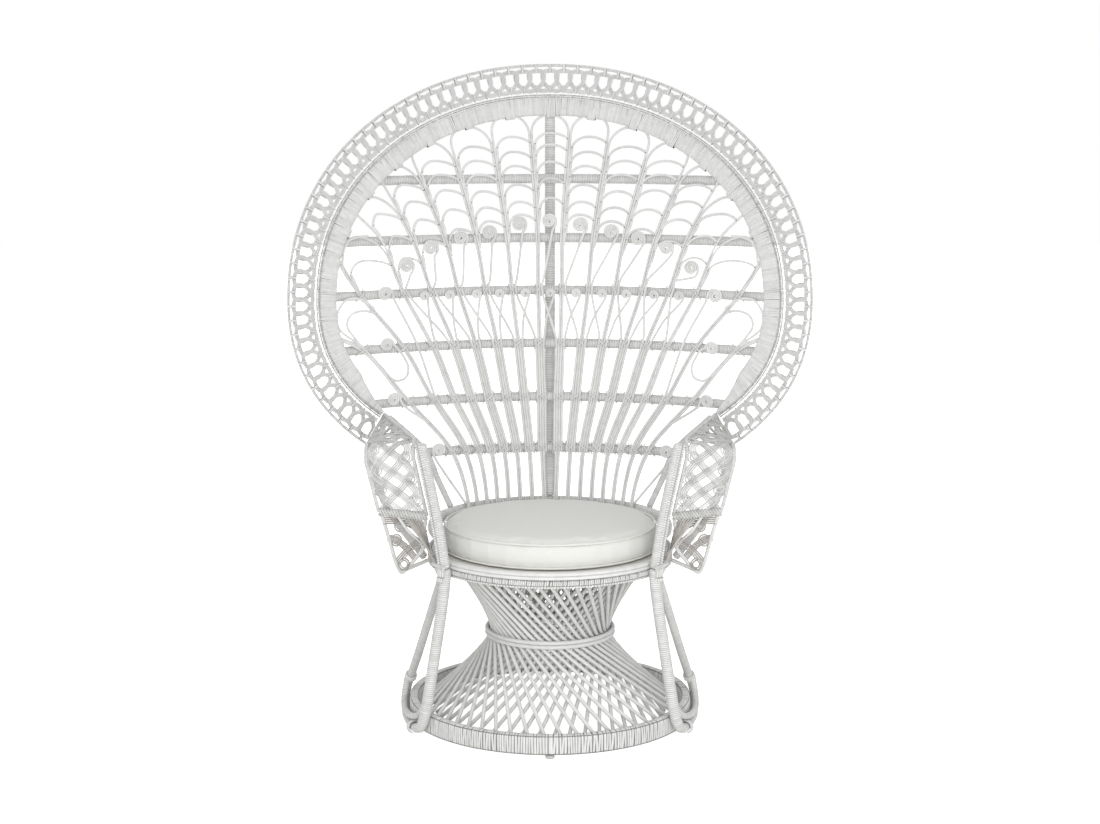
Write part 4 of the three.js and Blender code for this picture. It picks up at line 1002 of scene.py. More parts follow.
post = {
    "radius": 12.8, "wrap": 4.2, "depth": -40.9, "footDepth": 4, "footRise": 13,
    "keyHeights": (568, 592, 703, 832, 960, 1086, 1228, 1252),
    "headKeys": ((-50, -18.6), (18, -16.6)),  # from the band's inner edge: rise, depth
}
crown = bandEdge[:, 2].max()
postKeys = [vec(0, seat["railRadius"] + post["footDepth"], seat["railTop"] + rise)
            for rise in (0, post["footRise"])]
postKeys += [onFan(0.0, z, post["depth"]) for z in post["keyHeights"]]
postKeys += [onFan(0.0, crown + rise, depth) for rise, depth in post["headKeys"]]
woundPiece("backPost", [cane(smoothPath(postKeys, 5), post["radius"])], "back_post",
           wrap=post["wrap"], sides=14)


def placeAt(line, z):
    return vec(*(np.interp(z, line[:, 2], line[:, i]) for i in range(3)))


leg = {
    "pole": 13, "rear": 10, "elbow": 9.3, "headZ": 391.2, "headAngle": 52, "rearHeadAngle": 57.5,
    "footAngle": 57, "rearFootAngle": 97, "rearHeadZ": 366, "rearHeadReach": 286, "elbowZ": 19,
    "low": 10.8,
    "thinShares": (0.32, 0.46, 0.6, 0.7),  # of its run, where it gets thinner
}
poleRadii = {"strut": 7.8, "elbowWeb": 7.5, "armPost": 12.3, "armBrace": 9.5}
poleReach = seat["radius"] + 0.3 + leg["pole"]


def legLine(side):
    elbowReach = 327.3 + leg["elbow"]

    def spot(radius, degrees, z):
        return around(radius, side * degrees, z)

    keys = [
        spot(poleReach, leg["headAngle"], leg["headZ"]), spot(poleReach, leg["headAngle"], 369),
        spot((poleReach + elbowReach) / 2, (leg["headAngle"] + leg["footAngle"]) / 2, 194),
        spot(elbowReach + leg["pole"] / 3, leg["footAngle"], leg["low"] + 2 * leg["pole"]),
        *(spot(elbowReach, mix(leg["footAngle"], leg["rearFootAngle"], s),
               mix(leg["low"], leg["elbowZ"], s)) for s in (0.2, 0.5, 0.8)),
        spot(elbowReach + leg["rear"] / 4, leg["rearFootAngle"], leg["elbowZ"] + 2 * leg["pole"]),
    ]
    head = spot(leg["rearHeadReach"], leg["rearHeadAngle"], leg["rearHeadZ"])
    foot = keys[-1]
    return smoothPath([*keys, mix(foot, head, 0.35), mix(foot, head, 0.7), head], 4)


def legRadii(count):
    share = np.linspace(0, 1, count)
    a, b, c, d = leg["thinShares"]
    thinned = mix(leg["pole"], leg["elbow"], easeBetween(share, a, b))
    return mix(thinned, leg["rear"], easeBetween(share, c, d))


def besideSeat(side, x, y, z):
    return vec(side * (seat["radius"] + x), y, z)


def armPostLine(side):
    foot = around(poleReach, side * leg["headAngle"], leg["headZ"] + 0.3)
    head = besideSeat(side, 3.5, -150, 668)
    middle = mix(foot, head, 0.4)
    middle[0] -= side * 3
    return smoothPath([foot, middle, head], 4)


def borderEnd(side, inset, past):
    share = 0.0 if side < 0 else 1.0
    return onBorder(share, inset) + unit(alongOutline(outlineWays, share)) * side * past


tipInset = bandStart + 4.5
rail = {
    "drop": 14, "swingFrom": 112,  # degrees, from where it swings out to the arm posts
    "wrap": 4.4, "wide": 4.5, "strip": (19.6, 27.6, 1.0, 0.75), "core": 8.6,
}
railMiddle = seat["railTop"] - rail["drop"]
railEnd = placeAt(armPostLine(1), railMiddle)
railReach = math.atan2(railEnd[0], railEnd[1])
railTurns = np.linspace(-railReach, railReach, 400)
railTurnOut = math.radians(rail["swingFrom"])
railOut = np.maximum(0, np.abs(railTurns) - railTurnOut) / (railReach - railTurnOut)
railRadii = mix(seat["railRadius"], math.hypot(railEnd[0], railEnd[1]), railOut)
railLine = np.stack([railRadii * np.sin(railTurns), railRadii * np.cos(railTurns),
                     np.full(400, railMiddle)], 1)[8:-8]

railSpots, line = [], evenly(railLine, rail["wrap"])
for p, way in zip(line, waysAlong(line)):
    outward = unit(np.cross(way, vec(0, 0, 1)))
    railSpots.append((p, outward, vec(0, 0, 1) + way * dice.normal(0, 0.02), (
        1, 1, rail["wide"] * dice.uniform(0.9, 1.05))))
stripPiece("railWraps", stripShape(*rail["strip"]), railSpots, "back_rail")
# The rail's core is dark grey: painted shade seen between the wraps.
roundPiece("railCore", [cane(railLine, rail["core"])], finish=shadedCore, sides=10)

for side, hand in (("left", -1), ("right", 1)):
    strutLine = smoothPath([
        borderEnd(hand, tipInset, 18.4), besideSeat(hand, 18, 234, rodHeights[5]),
        besideSeat(hand, -14, 184, 522),
        around(seat["railRadius"], hand * 120, seat["railTop"]),
    ], 5)
    woundPiece(f"fanStrut_{side}", [cane(strutLine, poleRadii["strut"])], f"fan_strut_{side}")
    legCane = legLine(hand)
    woundPiece(f"legPole_{side}", [cane(legCane, legRadii(len(legCane)))], f"leg_loop_{side}",
               wrap=4.4, crease=0.5, uneven=0.3, sides=16)
    webKeys = [around(poleReach + 28, hand * leg["footAngle"], 92), around(338, hand * 61, 50),
               around(340, hand * 76, 31), around(340, hand * 90, 42), around(335, hand * 95, 86)]
    woundPiece(f"elbowWeb_{side}", [cane(smoothPath(webKeys, 4), poleRadii["elbowWeb"])],
               wrap=4.4, crease=0.5, uneven=0.3)
    woundPiece(f"armPost_{side}", [cane(armPostLine(hand), poleRadii["armPost"])],
               f"arm_post_{side}", sides=14)
say("rods, post, rail, struts, legs and arm posts")

# Pedestal, base hoop, seat hoop and rim

pedestal = {
    "canes": 48, "cane": 4.5, "headRadius": 216, "headZ": 359, "waistRadius": 132.8, "waistZ": 205.5,
    "footRadius": 299, "footZ": 26, "upperTwist": 40, "lowerTwist": 49, "innerShare": 0.912,
}


def layerCanes(share, sense):
    canes = []
    fullTwist = pedestal["upperTwist"] + pedestal["lowerTwist"]
    stations = ((pedestal["headRadius"], 0, pedestal["headZ"] + 3),
                (pedestal["waistRadius"], pedestal["upperTwist"], pedestal["waistZ"]),
                (pedestal["footRadius"], fullTwist, pedestal["footZ"]))
    for i in range(pedestal["canes"]):
        start = 360 * i / pedestal["canes"] + dice.uniform(-0.25, 0.25)
        head, waist, foot = (around(radius * share, start + sense * twist, z)
                             for radius, twist, z in stations)
        before, after = mix(waist, head, 0.12), mix(waist, foot, 0.12)
        bend = [before * (1 - t) ** 2 + waist * 2 * t * (1 - t) + after * t * t
                for t in np.linspace(0, 1, 7)[1:-1]]
        line = np.vstack([evenly(np.array([head, before]), 14), bend,
                          evenly(np.array([after, foot]), 14)])
        canes.append(cane(line, pedestal["cane"] * dice.uniform(0.95, 1.0)))
    return canes


roundPiece("pedestalOuterCanes", layerCanes(1, 1), "pedestal_outer_canes", sides=10)
roundPiece("pedestalInnerCanes", layerCanes(pedestal["innerShare"], -1), "pedestal_inner_canes",
           sides=10)


def ringLine(radius, z, step=6):
    turns = fullTurn(int(2 * math.pi * radius / step))
    return np.stack([radius * np.sin(turns), -radius * np.cos(turns), np.full(len(turns), z)], 1)


waistHoop = {"radius": 146.2, "cane": 4.75, "heights": {"upper": 210.4, "lower": 200.6}}
for node, z in waistHoop["heights"].items():
    roundPiece(f"waistHoop_{node}", [cane(ringLine(waistHoop["radius"], z), waistHoop["cane"], True)],
               f"waist_hoop_{node}", slot="painted_peel", sides=12)


def hoopSpots(hoop):
    spots, run, radius = [], 0.0, hoop["radius"]
    while run < 2 * math.pi * radius - hoop["wrap"] / 2:
        wide = hoop["wrap"] * dice.uniform(0.85, 1.12)
        angle = (run + wide / 2) / radius
        outward = vec(math.sin(angle), -math.cos(angle), 0)
        way = vec(math.cos(angle), math.sin(angle), 0)
        up = vec(0, 0, 1) + way * (hoop["tilt"] + dice.normal(0, hoop["wander"]))
        spots.append((outward * radius + vec(0, 0, hoop["z"] + dice.uniform(-0.3, 0.3)), outward, up,
                      (1, 1, wide * 0.98)))
        run += wide + (dice.uniform(0.6, 1.8) if dice.random() < 0.2 else 0.1)
    return spots


# Hoops wrapped crosswise. A strip has its width, height, lift and corner; a core has half of
# its width and height.
wrappedHoops = {
    "base": {"radius": 316, "z": 31, "wrap": 5.8, "tilt": 0.0, "wander": 0.03,
             "strip": (22, 46, 1.3, 0.5), "coreZ": 31, "core": (9.2, 21)},
    "seat": {"radius": 269.6, "z": 380.8, "wrap": 4.2, "tilt": 0.12, "wander": 0.03,
             "strip": (23, 13.6, 1.0, 0.55), "coreZ": 380.2, "core": (10.2, 5.8)},
}
for name, hoop in wrappedHoops.items():
    stripPiece(f"{name}HoopWraps", stripShape(*hoop["strip"]), hoopSpots(hoop), f"{name}_hoop")
# Their cores are dark grey: painted shade seen between the wraps.
for name, hoop in wrappedHoops.items():
    width, height = hoop["core"]
    rings = [[around(hoop["radius"] + a, turn, hoop["coreZ"] + b)
              for a, b in ((-width, -height), (width, -height), (width, height), (-width, height))]
             for turn in range(0, 360, 3)]
    settle(makeMesh(f"{name}HoopCore", *loft(rings, True), shadedCore))

rimHoop = {"cane": 4.2, "outer": (277.6, (392.3, 400.7)), "inner": (268.6, (392.3, 400.4))}
roundPiece("seatRimCanes", [cane(ringLine(rimHoop[row][0], z), rimHoop["cane"], True)
                            for row in ("outer", "inner") for z in rimHoop[row][1]],
           "seat_rim_hoop", sides=12)
woundPiece("seatHoopBeads", [cane(ringLine(277.4, 372.3, 3), 3.3, True)], wrap=7.0, sides=10)
say("pedestal, hoops and rim")

# Arms: a woven strip over a front roll, with a bracket below

arm = {
    "outerFront": (126, 660), "innerFront": (21, 672), "outerFoot": (99, 514), "innerFoot": (-8, 504),
    "frontY": -150, "roll": 34, "edge": 4.6, "strand": 1.85,
    "ribbon": (-6.6, -2.2, 2.2, 6.6), "rings": (7.6, 12.0), "barPitch": 13.0,
}


def armEdge(side, inset, front, foot):
    rear = borderEnd(side, inset, 5.9)
    rollTop = besideSeat(side, front[0], arm["frontY"] + arm["roll"], front[1])
    rollFoot = besideSeat(side, front[0], arm["frontY"], front[1] - arm["roll"])
    end = besideSeat(side, foot[0], arm["frontY"], foot[1])
    top = [mix(rear, rollTop, s) for s in np.linspace(0, 1, 60)[:-1]]
    roll = [rollFoot + vec(0, arm["roll"] * (1 - math.sin(t)), arm["roll"] * math.cos(t))
            for t in np.linspace(0, math.pi / 2, 12)[:-1]]
    drop = [mix(rollFoot, end, s) for s in np.linspace(0, 1, 26)]
    return np.array([*top, *roll, *drop])


def armSurface(outer, inner):
    across = outer - inner
    normals = np.cross(waysAlong(mix(outer, inner, 0.5)), across)
    normals = unit(normals * np.sign(normals[0, 2]))
    run = lengthsAlong(mix(outer, inner, 0.5))

    def onArm(along, share, out=0.0):
        along = np.clip(along, 0, run[-1])
        a, b, n = (np.stack([np.interp(along, run, t[:, i]) for i in range(3)], -1)
                   for t in (inner, outer, normals))
        return mix(a, b, np.asarray(share)[..., None]) + n * np.asarray(out)[..., None], n

    return onArm, run[-1]


def armRibbons(onArm, length, width):
    canes = []
    for phase in (0.0, 0.25, 0.5, 0.75):
        along = np.linspace(3, length - 3, int(length / 2.4))
        turns = along / (2 * width) + phase
        wave = np.sin(2 * math.pi * turns)
        share = 0.5 + 0.4 * (0.55 * wave + 0.45 * np.arcsin(wave) * 2 / math.pi)
        depth = 3.0 * np.sin(6 * math.pi * turns + phase * 9)
        points, normals = onArm(along, share, depth)
        canes += [cane(line, arm["strand"]) for line in beside(points, normals, arm["ribbon"])]
    for i, along in enumerate(np.arange(18, length - 16, width / 4)):
        share = (0.15, 0.85)[i % 2]
        turns = fullTurn(18)
        for radius in arm["rings"]:
            points, normals = onArm(along + radius * np.sin(turns),
                                    share + radius * np.cos(turns) / width, 1.6 * np.sin(2 * turns))
            canes.append(cane(points, arm["strand"], True))
    return canes


# Strands twisted round a line.
def twisted(line, radius, pitch, strands, thickness):
    fine = evenly(line, 1.6)
    ways, run = waysAlong(fine), lengthsAlong(fine)[:, None]
    x = unit(np.cross(ways, vec(0.1, 0.9, 0.3)))
    y = np.cross(ways, x)
    canes = []
    for k in range(strands):
        turn = 2 * math.pi * (run / pitch + k / strands)
        canes.append(cane(fine + radius * (x * np.cos(turn) + y * np.sin(turn)), thickness))
    return canes


# Rings side by side round a line, as a binding there.
def collar(line, share, radius, count, thickness):
    run = lengthsAlong(line)
    ways = waysAlong(line)
    canes = []
    for i in range(count):
        at = share * run[-1] + (i - (count - 1) / 2) * thickness * 1.9
        middle, way = (vec(*(np.interp(at, run, t[:, j]) for j in range(3))) for t in (line, ways))
        x = unit(np.cross(way, vec(0.3, 0.2, 1)))
        y = np.cross(way, x)
        turns = fullTurn(22)[:, None]
        canes.append(cane(middle + radius * (x * np.cos(turns) + y * np.sin(turns)), thickness, True))
    return canes


# A flat coil that lies in the plane of two directions.
def flatCoil(middle, across, up, radius, turns, thickness):
    share = np.linspace(0, 1, int(24 * turns))
    turn, reach = 2 * math.pi * turns * (1 - share), mix(1.2, radius, share)
    line = middle + across * (reach * np.cos(turn))[:, None] + up * (reach * np.sin(turn))[:, None]
    return cane(line, thickness)


bracket = {
    "corner": (61, -72, 356), "bulge": (2, -107, 425), "edge": 4.5, "tie": 4.6, "brow": 3.4,
    "ribbons": ((0.4, 0.8, 9), (0.84, 0.42, 9), (0.12, 0.3, 12)),  # from, to, and the bow between
    "rings": ((0.45, 15, 0), (0.85, 17, 4), (0.2, 34, 6)),  # place on its edge, inwards, down
    "canes": 6, "cane": 2.9,
}
# Upright canes round a leg's head: places across it, their distance, heights and thickness
headBindings = (
    ((-9.0, -4.6, 0.0, 4.6, 9.0), 15.8, (375, 381, 388, 395), 2.3),
    ((-12, -7.5, -2.6, 2.6, 7.5, 12), 17.2, (365, 369, 373), 2.7),
)
headRoll = {"reach": 16.5, "z": 399, "slope": 1 / 12, "spots": (-25, -12, 0, 12, 25), "radius": 4.6}
# Bindings round a leg's elbows: share of its run, radius, rings, thickness
legCollars = ((0.425, 14.6, 4, 1.9), (0.655, 12.2, 3, 2.2))
for side, hand in (("left", -1), ("right", 1)):
    outer = armEdge(hand, 4.5, arm["outerFront"], arm["outerFoot"])
    inner = armEdge(hand, tipInset, arm["innerFront"], arm["innerFoot"])
    onArm, length = armSurface(outer, inner)
    width = float(np.mean(np.linalg.norm(outer - inner, axis=1)))
    normals = onArm(np.linspace(0, length, len(outer)), np.full(len(outer), 0.5))[1]
    rods = [cane(evenly(outer, 4), arm["edge"]), cane(evenly(inner, 4), arm["edge"]),
            cane(evenly(np.array([outer[0], inner[0]]), 4), arm["edge"]),
            cane(evenly(np.array([outer[-1], inner[-1]]), 4), 7.6)]
    woundPiece(f"armFrame_{side}", rods, f"arm_frame_{side}", wrap=3.6, sides=10)
    bar = twisted(np.array([outer[-1], inner[-1]]), 8.0, arm["barPitch"] * 2, 4, 2.3)
    # The weave takes the darker peel: painted shade between its strands.
    roundPiece(f"armWeave_{side}", armRibbons(onArm, length, width) + bar, f"arm_weave_{side}",
               slot="painted_peel", finish=shadedPeel, sides=6)

    outerTop, innerTop = outer[-1] - vec(hand * 6, 0, 4), inner[-1] - vec(-hand * 2, 0, 4)
    corner, bulge = (besideSeat(hand, *bracket[name]) for name in ("corner", "bulge"))
    tie = around(280, hand * 80, 380.5)
    inward = vec(-hand, 0, 0)
    knee = corner + inward * 20 + vec(0, -5, 13)
    edge = smoothPath([innerTop, bulge + vec(0, -4, 25), bulge, mix(bulge, corner, 0.45) + inward * 7,
                       knee, corner + inward * 6, mix(corner, outerTop, 0.12),
                       mix(corner, outerTop, 0.5), outerTop], 3)
    innerCurve = smoothPath([innerTop, bulge, knee], 3)
    brow = smoothPath([mix(outerTop, innerTop, 0.35), mix(outerTop, innerTop, 0.6) - vec(0, 0, 34),
                       innerCurve[len(innerCurve) // 2]], 3)
    edges = [cane(edge, bracket["edge"]),
             cane(smoothPath([corner, mix(corner, tie, 0.5), tie], 3), bracket["tie"]),
             cane(brow, bracket["brow"])]
    lines = []
    for start, end, bow in bracket["ribbons"]:
        a, b = mix(outerTop, corner, start), innerCurve[int(end * (len(innerCurve) - 1))]
        line = smoothPath([a, mix(a, b, 0.5) + vec(0, 0, bow), b], 3)
        faces = np.tile(vec(hand * 0.3, -0.95, 0.1), (len(line), 1))
        lines += [cane(p, arm["strand"]) for p in beside(line, faces, arm["ribbon"])]
    turns = fullTurn(22)[:, None]
    for share, reach, depth in bracket["rings"]:
        middle = mix(outerTop, corner, share) + inward * reach - vec(0, depth, 0)
        for radius in arm["rings"]:
            ring = middle + vec(radius, 0, 0) * np.cos(turns) + vec(0, 0, 1.1 * radius) * np.sin(turns)
            lines.append(cane(ring + vec(0, 1.6, 0) * np.sin(2 * turns), arm["strand"], True))
    roundPiece(f"armBracket_{side}", edges, f"arm_bracket_{side}", slot="painted_peel", sides=10)
    for i in range(bracket["canes"]):  # slanting canes from the roll bar down to the seat
        head = mix(outer[-1], inner[-1], 0.5 + 0.072 * i) + vec(0, 6, -6)
        foot = around(288, hand * (61 + 2 * i), 388)
        lines.append(cane(smoothPath([head, mix(head, foot, 0.5) + inward * 5, foot], 5),
                          bracket["cane"]))
    # The bracket weave takes the darker paint: painted shade under the arm.
    roundPiece(f"bracketWeave_{side}", lines, slot="painted_peel", finish=paintedShadeUnderArms)

    braceHead = mix(outer[0], besideSeat(hand, 126, -150, 660), 0.2) - vec(0, 0, 5.4)
    braceLine = smoothPath([braceHead, besideSeat(hand, 101, 30, 500),
                            around(291.5, hand * 78.75, 387.7)], 4)
    woundPiece(f"armBrace_{side}", [cane(braceLine, poleRadii["armBrace"])], f"arm_brace_{side}")

    # Two beaded rods run up the front of the post, and bindings hold its foot to the leg.
    outFront, across = unit(vec(hand * 0.45, -1, 0)), unit(vec(1, hand * 0.45, 0))
    beads = [cane(armPostLine(hand) + outFront * 11.5 + across * offset, thick)
             for offset, thick in ((-hand * 1.0, 4.0), (hand * 7.5, 3.4))]
    woundPiece(f"armPostBeads_{side}", beads, slot="painted_peel", wrap=5.6, crease=1.0, sides=9)

    head = around(poleReach, hand * leg["headAngle"], 0)
    outward = unit(vec(head[0], head[1], 0))
    rearward = vec(-outward[1], outward[0], 0) * hand
    roll = [head + outward * headRoll["reach"] + rearward * a
            + vec(0, 0, headRoll["z"] + headRoll["slope"] * a) for a in headRoll["spots"]]
    woundPiece(f"headRoll_{side}", [cane(smoothPath(roll, 3), headRoll["radius"])],
               wrap=4.4, crease=0.9)
    knot = []
    for spotsAcross, radius, heights, thickness in headBindings:
        for a in spotsAcross:
            foot = head + outward * math.sqrt(radius**2 - a * a) + rearward * a
            knot.append(cane([foot + vec(0, 0, z) for z in heights], thickness))
    middle = head + outward * 9 + rearward * 18 + vec(0, 0, 384)
    knot.append(flatCoil(middle, rearward, vec(0, 0, 1), 7.5, 1.7, 2.4))
    knot.append(flatCoil(middle - outward * 4, rearward, vec(0, 0, 1), 6.5, 1.2, 2.4))
    for look in legCollars:
        knot += collar(legLine(hand), *look)
    elbow = around(343, hand * 95, 0)
    knot.append(flatCoil(elbow + vec(0, 0, 62), unit(vec(0, 1, 0)), vec(0, 0, 1), 8.5, 1.9, 2.3))
    foot = around(346, hand * 62, 0)
    knot.append(flatCoil(foot + vec(0, 0, 12), unit(vec(hand, 1, 0)), vec(0, 0, 1), 6.0, 1.4, 2.1))
    roundPiece(f"legKnots_{side}", knot)
say("arms")

# Nails, glides and wood


def nailShape():
    points = [(0, 0, 0.55)]
    for r0, z0 in ((0.62, 0.42), (1.0, 0.05), (0.8, -0.5)):
        points += [(r0 * math.cos(t), r0 * math.sin(t), z0) for t in fullTurn(6)]
    points = [(x * mm, z * mm, -y * mm) for x, y, z in points]
    faces = [(0, 1 + i, 1 + (i + 1) % 6) for i in range(6)]
    for ring in (0, 6):
        faces += [(1 + ring + i, 7 + ring + i, 7 + ring + (i + 1) % 6, 1 + ring + (i + 1) % 6)
                  for i in range(6)]
    faces.append(tuple(range(18, 12, -1)))
    mesh = bpy.data.meshes.new("nail")
    mesh.from_pydata(points, [], faces)
    return addObject("nail", mesh)


stripPiece("nailHeads", nailShape(), nailSpots, finish=nailSteel)

glideProfile = ((0.01, 0.0), (7.6, 0.0), (9.2, 0.7), (10, 2.2), (10, 5.6), (9.4, 7.2), (7.4, 7.7),
                (0.01, 7.7))
for i in range(4):
    middle = around(wrappedHoops["base"]["radius"], 90 * i, 0)
    rings = [[middle + vec(radius * math.cos(t), radius * math.sin(t), z) for t in fullTurn(28)]
             for radius, z in glideProfile]
    settle(makeMesh(f"glide_{i + 1}", *loft(rings), paleRubber), f"foot_glide_{i + 1}",
           slot="glide_rubber")

# The deck and what is under it stay as they are in the frame, and are only painted.
keptNodes = {
    "seat_deck": paintedWood, "seat_slat_front": paintedWood, "seat_slat_middle": paintedWood,
    "seat_slat_rear": paintedWood, "pedestal_head_hoop": paintedRattan,
}
for node, finish in keptNodes.items():
    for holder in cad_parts[node].material_slots:
        holder.link = "OBJECT"
        holder.material = finish

# Seat cushion

cushion = {
    "shrink": (0.982, 0.982, 0.95), "voxel": 5.0, "pressure": 4.0, "frames": 20, "cap": 9.0,
    "width": 0.994,  # against the solid, once blown up
    "pucker": 0.9, "puckers": 46, "seamDent": 1.2, "seamSpread": 11, "welt": 2.4, "weltLift": 0.9,
    "seams": (57, 5),  # heights over the deck
}


def readPoints(mesh):
    points = np.zeros(len(mesh.vertices) * 3)
    mesh.vertices.foreach_get("co", points)
    return points.reshape(-1, 3)


def cushionBody():
    made = addObject("seatCushion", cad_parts["seat_cushion"].data.copy())
    points = readPoints(made.data)
    middle, low = (points.min(0) + points.max(0)) / 2, points[:, 2].min()
    points = middle + (points - middle) * vec(*cushion["shrink"])
    points[:, 2] += low - points[:, 2].min()
    made.data.vertices.foreach_set("co", points.ravel())
    made.modifiers.new("merge", "WELD").merge_threshold = 0.1 * mm
    remesh = made.modifiers.new("remesh", "REMESH")
    remesh.mode = "VOXEL"
    remesh.voxel_size = cushion["voxel"] * mm
    plainMesh(made)
    return made


def inflate(made):
    before = readPoints(made.data)
    cloth = made.modifiers.new("cloth", "CLOTH")
    cloth.settings.use_pressure = True
    cloth.settings.uniform_pressure_force = cushion["pressure"]
    cloth.settings.effector_weights.gravity = 0
    cloth.settings.quality = 5
    cloth.collision_settings.use_collision = False
    for number in range(1, cushion["frames"] + 1):
        scene.frame_set(number)
    graph = bpy.context.evaluated_depsgraph_get()
    after = readPoints(made.evaluated_get(graph).data)
    made.modifiers.remove(cloth)
    scene.frame_set(1)
    shift = after - before
    far = np.linalg.norm(shift, axis=1, keepdims=True)
    after = before + shift * np.minimum(1, cushion["cap"] * mm / np.maximum(far, 1e-9))
    made.data.vertices.foreach_set("co", after.ravel())


made = cushionBody()
inflate(made)
refine = made.modifiers.new("refine", "SUBSURF")
refine.levels = refine.render_levels = 1
mesh = plainMesh(made)

points = readPoints(mesh)
cushionLow, cushionHigh = (np.array(c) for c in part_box("seat_cushion"))
centre = (cushionLow + cushionHigh) / 2
# Blown up, the cover draws in at its rim, so it is let out to its full size again.
wide = np.abs(points[:, :2] - centre[:2]).max(0)
points[:, :2] = (centre[:2] + (points[:, :2] - centre[:2]) * (cushionHigh - centre)[:2] / wide
                 * cushion["width"])
# It lies flat on the deck.
points[:, 2] = np.maximum(points[:, 2], cushionLow[2] + 0.2 * mm)


def roundCushion(spots):
    x, y = (spots[:, :2] - centre[:2]).T
    return np.arctan2(y, x), np.hypot(x, y)


angle, radius = roundCushion(points)
edgeRadius = radius.max()
seamHeights = [cushionLow[2] + z * mm for z in cushion["seams"]]
rim = easeBetween(radius, 0.9 * edgeRadius, edgeRadius)
wobble = (np.sin(angle * cushion["puckers"] + 2.1 * np.sin(angle * 5))
          * (0.6 + 0.4 * np.sin(angle * 7 + 1)))
for z in seamHeights:
    near = np.exp(-((points[:, 2] - z) / (cushion["seamSpread"] * mm)) ** 2) * rim
    dent = near * (cushion["seamDent"] + wobble) * cushion["pucker"] * mm
    points[:, 0] -= np.cos(angle) * dent
    points[:, 1] -= np.sin(angle) * dent
mesh.vertices.foreach_set("co", points.ravel())
mesh.update()

uv = mesh.uv_layers.new(name="cloth")
normals = np.zeros(len(mesh.polygons) * 3)
mesh.polygons.foreach_get("normal", normals)
normals = normals.reshape(-1, 3)
for face in mesh.polygons:
    flat = abs(normals[face.index, 2]) > 0.6
    base = math.atan2(face.center.y - centre[1], face.center.x - centre[0])
    for corner in face.loop_indices:
        p = mesh.vertices[mesh.loops[corner].vertex_index].co
        if flat:
            uv.data[corner].uv = (p.x, p.y)
        else:
            turn = math.atan2(p.y - centre[1], p.x - centre[0])
            turn += 2 * math.pi * round((base - turn) / (2 * math.pi))
            uv.data[corner].uv = (turn * edgeRadius, p.z)
mesh.shade_smooth()
mesh.materials.clear()
mesh.materials.append(wovenCloth)
settle(made, "seat_cushion", slot="cushion_cloth", body="cushion")


def weltLine(z):
    turns, reach = roundCushion(points[np.abs(points[:, 2] - z) < 4 * mm])
    line = []
    for turn in np.linspace(-math.pi, math.pi, 180, endpoint=False):
        away = np.abs((turns - turn + math.pi) % (2 * math.pi) - math.pi)
        out = reach[away < 0.03].max() + cushion["weltLift"] * mm
        line.append((centre[0] + out * math.cos(turn), centre[1] - axisY + out * math.sin(turn), z))
    return np.array(line) / mm


welts = makePaths("cushionWelts", [cane(weltLine(z), cushion["welt"], True) for z in seamHeights])
growMesh(welts, caneTree, {"Sides": 8, "Finish": wovenCloth})
settle(welts, slot="cushion_cloth", body="cushion")
say("cushion")

# Stage, lamps and camera

stage = {
    "floorColor": "#F4F4F2", "floorHalf": 14, "brightSide": (0, -0.75, 0.66),
    "frontLight": 0.95, "backLight": 0.4,
    "turnOver": (-0.5, 0.8),  # up to the first there is back light alone, from the second on front light
    "glow": (0.8, 1.0), "glowReach": (0.9, 6.0),  # the floor fades to white away from the chair
}
lamps = {
    "keyLamp": {"place": (-0.3, -4.0, 1.7), "aim": (0, 0, 0.6), "size": 1.2, "power": 18.0},
    "fillLamp": {"place": (0.4, -1.9, 0.4), "aim": (0, -0.33, 0.05), "size": 1.0, "power": 7.0},
}


# 1 for what the camera sees, straight or by way of gloss or glass, and 0 for what lights.
def seenRays(tree):
    rays = addNode(tree, "ShaderNodeLightPath")
    seen = rays["Is Camera Ray"]
    for name in ("Is Glossy Ray", "Is Transmission Ray"):
        seen = addNode(tree, "ShaderNodeMath", {0: seen, 1: rays[name]}, operation="MAXIMUM")[0]
    return seen


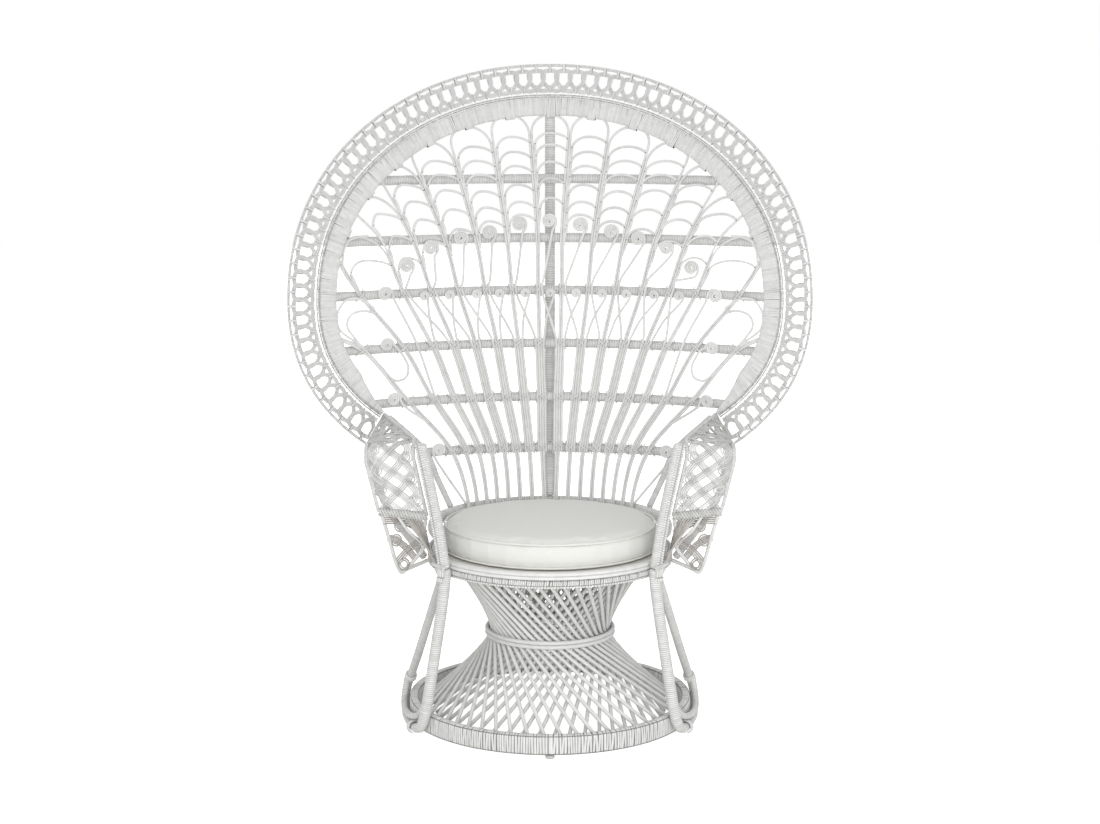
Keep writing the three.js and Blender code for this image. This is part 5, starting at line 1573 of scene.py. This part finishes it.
def makeFloor():
    material, tree = startMaterial("white studio floor")
    matte = addNode(tree, "ShaderNodeBsdfDiffuse", {"Color": hexColor(stage["floorColor"])})[0]
    where = addNode(tree, "ShaderNodeTexCoord")["Object"]
    away = addNode(tree, "ShaderNodeVectorMath", {0: where}, operation="LENGTH")["Value"]
    fade = addNode(tree, "ShaderNodeMapRange", {
        "Value": away, "From Min": stage["glowReach"][0], "From Max": stage["glowReach"][1],
        "To Min": stage["glow"][0], "To Max": stage["glow"][1]})[0]
    light = addNode(tree, "ShaderNodeMath", {0: seenRays(tree), 1: fade}, operation="MULTIPLY")[0]
    glow = addNode(tree, "ShaderNodeEmission", {"Strength": light})[0]
    both = addNode(tree, "ShaderNodeAddShader", {0: matte, 1: glow})[0]
    addNode(tree, "ShaderNodeOutputMaterial", {"Surface": both})
    return material


half = stage["floorHalf"]
floorMesh = bpy.data.meshes.new("studioFloor")
floorMesh.from_pydata([(-half, -half, 0), (half, -half, 0), (half, half, 0), (-half, half, 0)], [],
                      [(0, 1, 2, 3)])
floorMesh.materials.append(makeFloor())
floor = addObject("studioFloor", floorMesh)
floor.location.z = -0.5 * mm

world = bpy.data.worlds.new("studio")
scene.world = world
world.use_nodes = True
air = world.node_tree
air.nodes.clear()
ray = addNode(air, "ShaderNodeTexCoord")["Generated"]
facing = addNode(air, "ShaderNodeVectorMath", {0: ray, 1: stage["brightSide"]},
                 operation="DOT_PRODUCT")["Value"]
soft = addNode(air, "ShaderNodeMapRange", {
    "Value": facing, "From Min": stage["turnOver"][0], "From Max": stage["turnOver"][1],
    "To Min": stage["backLight"], "To Max": stage["frontLight"]})[0]
strength = addNode(air, "ShaderNodeMapRange", {
    "Value": seenRays(air), "To Min": soft, "To Max": 1.0})[0]
sky = addNode(air, "ShaderNodeBackground", {"Color": (1, 1, 1, 1), "Strength": strength})[0]
addNode(air, "ShaderNodeOutputWorld", {"Surface": sky})

for name, look in lamps.items():
    lamp = bpy.data.lights.new(name, "AREA")
    lamp.shape, lamp.size, lamp.energy = "DISK", look["size"], look["power"]
    holder = bpy.data.objects.new(name, lamp)
    holder.location = place = Vector(look["place"])
    holder.rotation_euler = (Vector(look["aim"]) - place).to_track_quat("-Z", "Y").to_euler()
    scene.collection.objects.link(holder)

view = {"back": 4.5, "height": 1.443, "pitch": 9.2, "focal": 1998, "frame": 1100}
lens = bpy.data.cameras.new("photoCamera")
lens.sensor_width = 36
lens.lens = view["focal"] / view["frame"] * 36
camera = bpy.data.objects.new("photoCamera", lens)
camera.location = (0, -view["back"] + axisY, view["height"])
camera.rotation_euler = (math.radians(90 - view["pitch"]), 0, 0)
scene.collection.objects.link(camera)
scene.camera = camera
scene.view_settings.view_transform = "Standard"
say("stage")
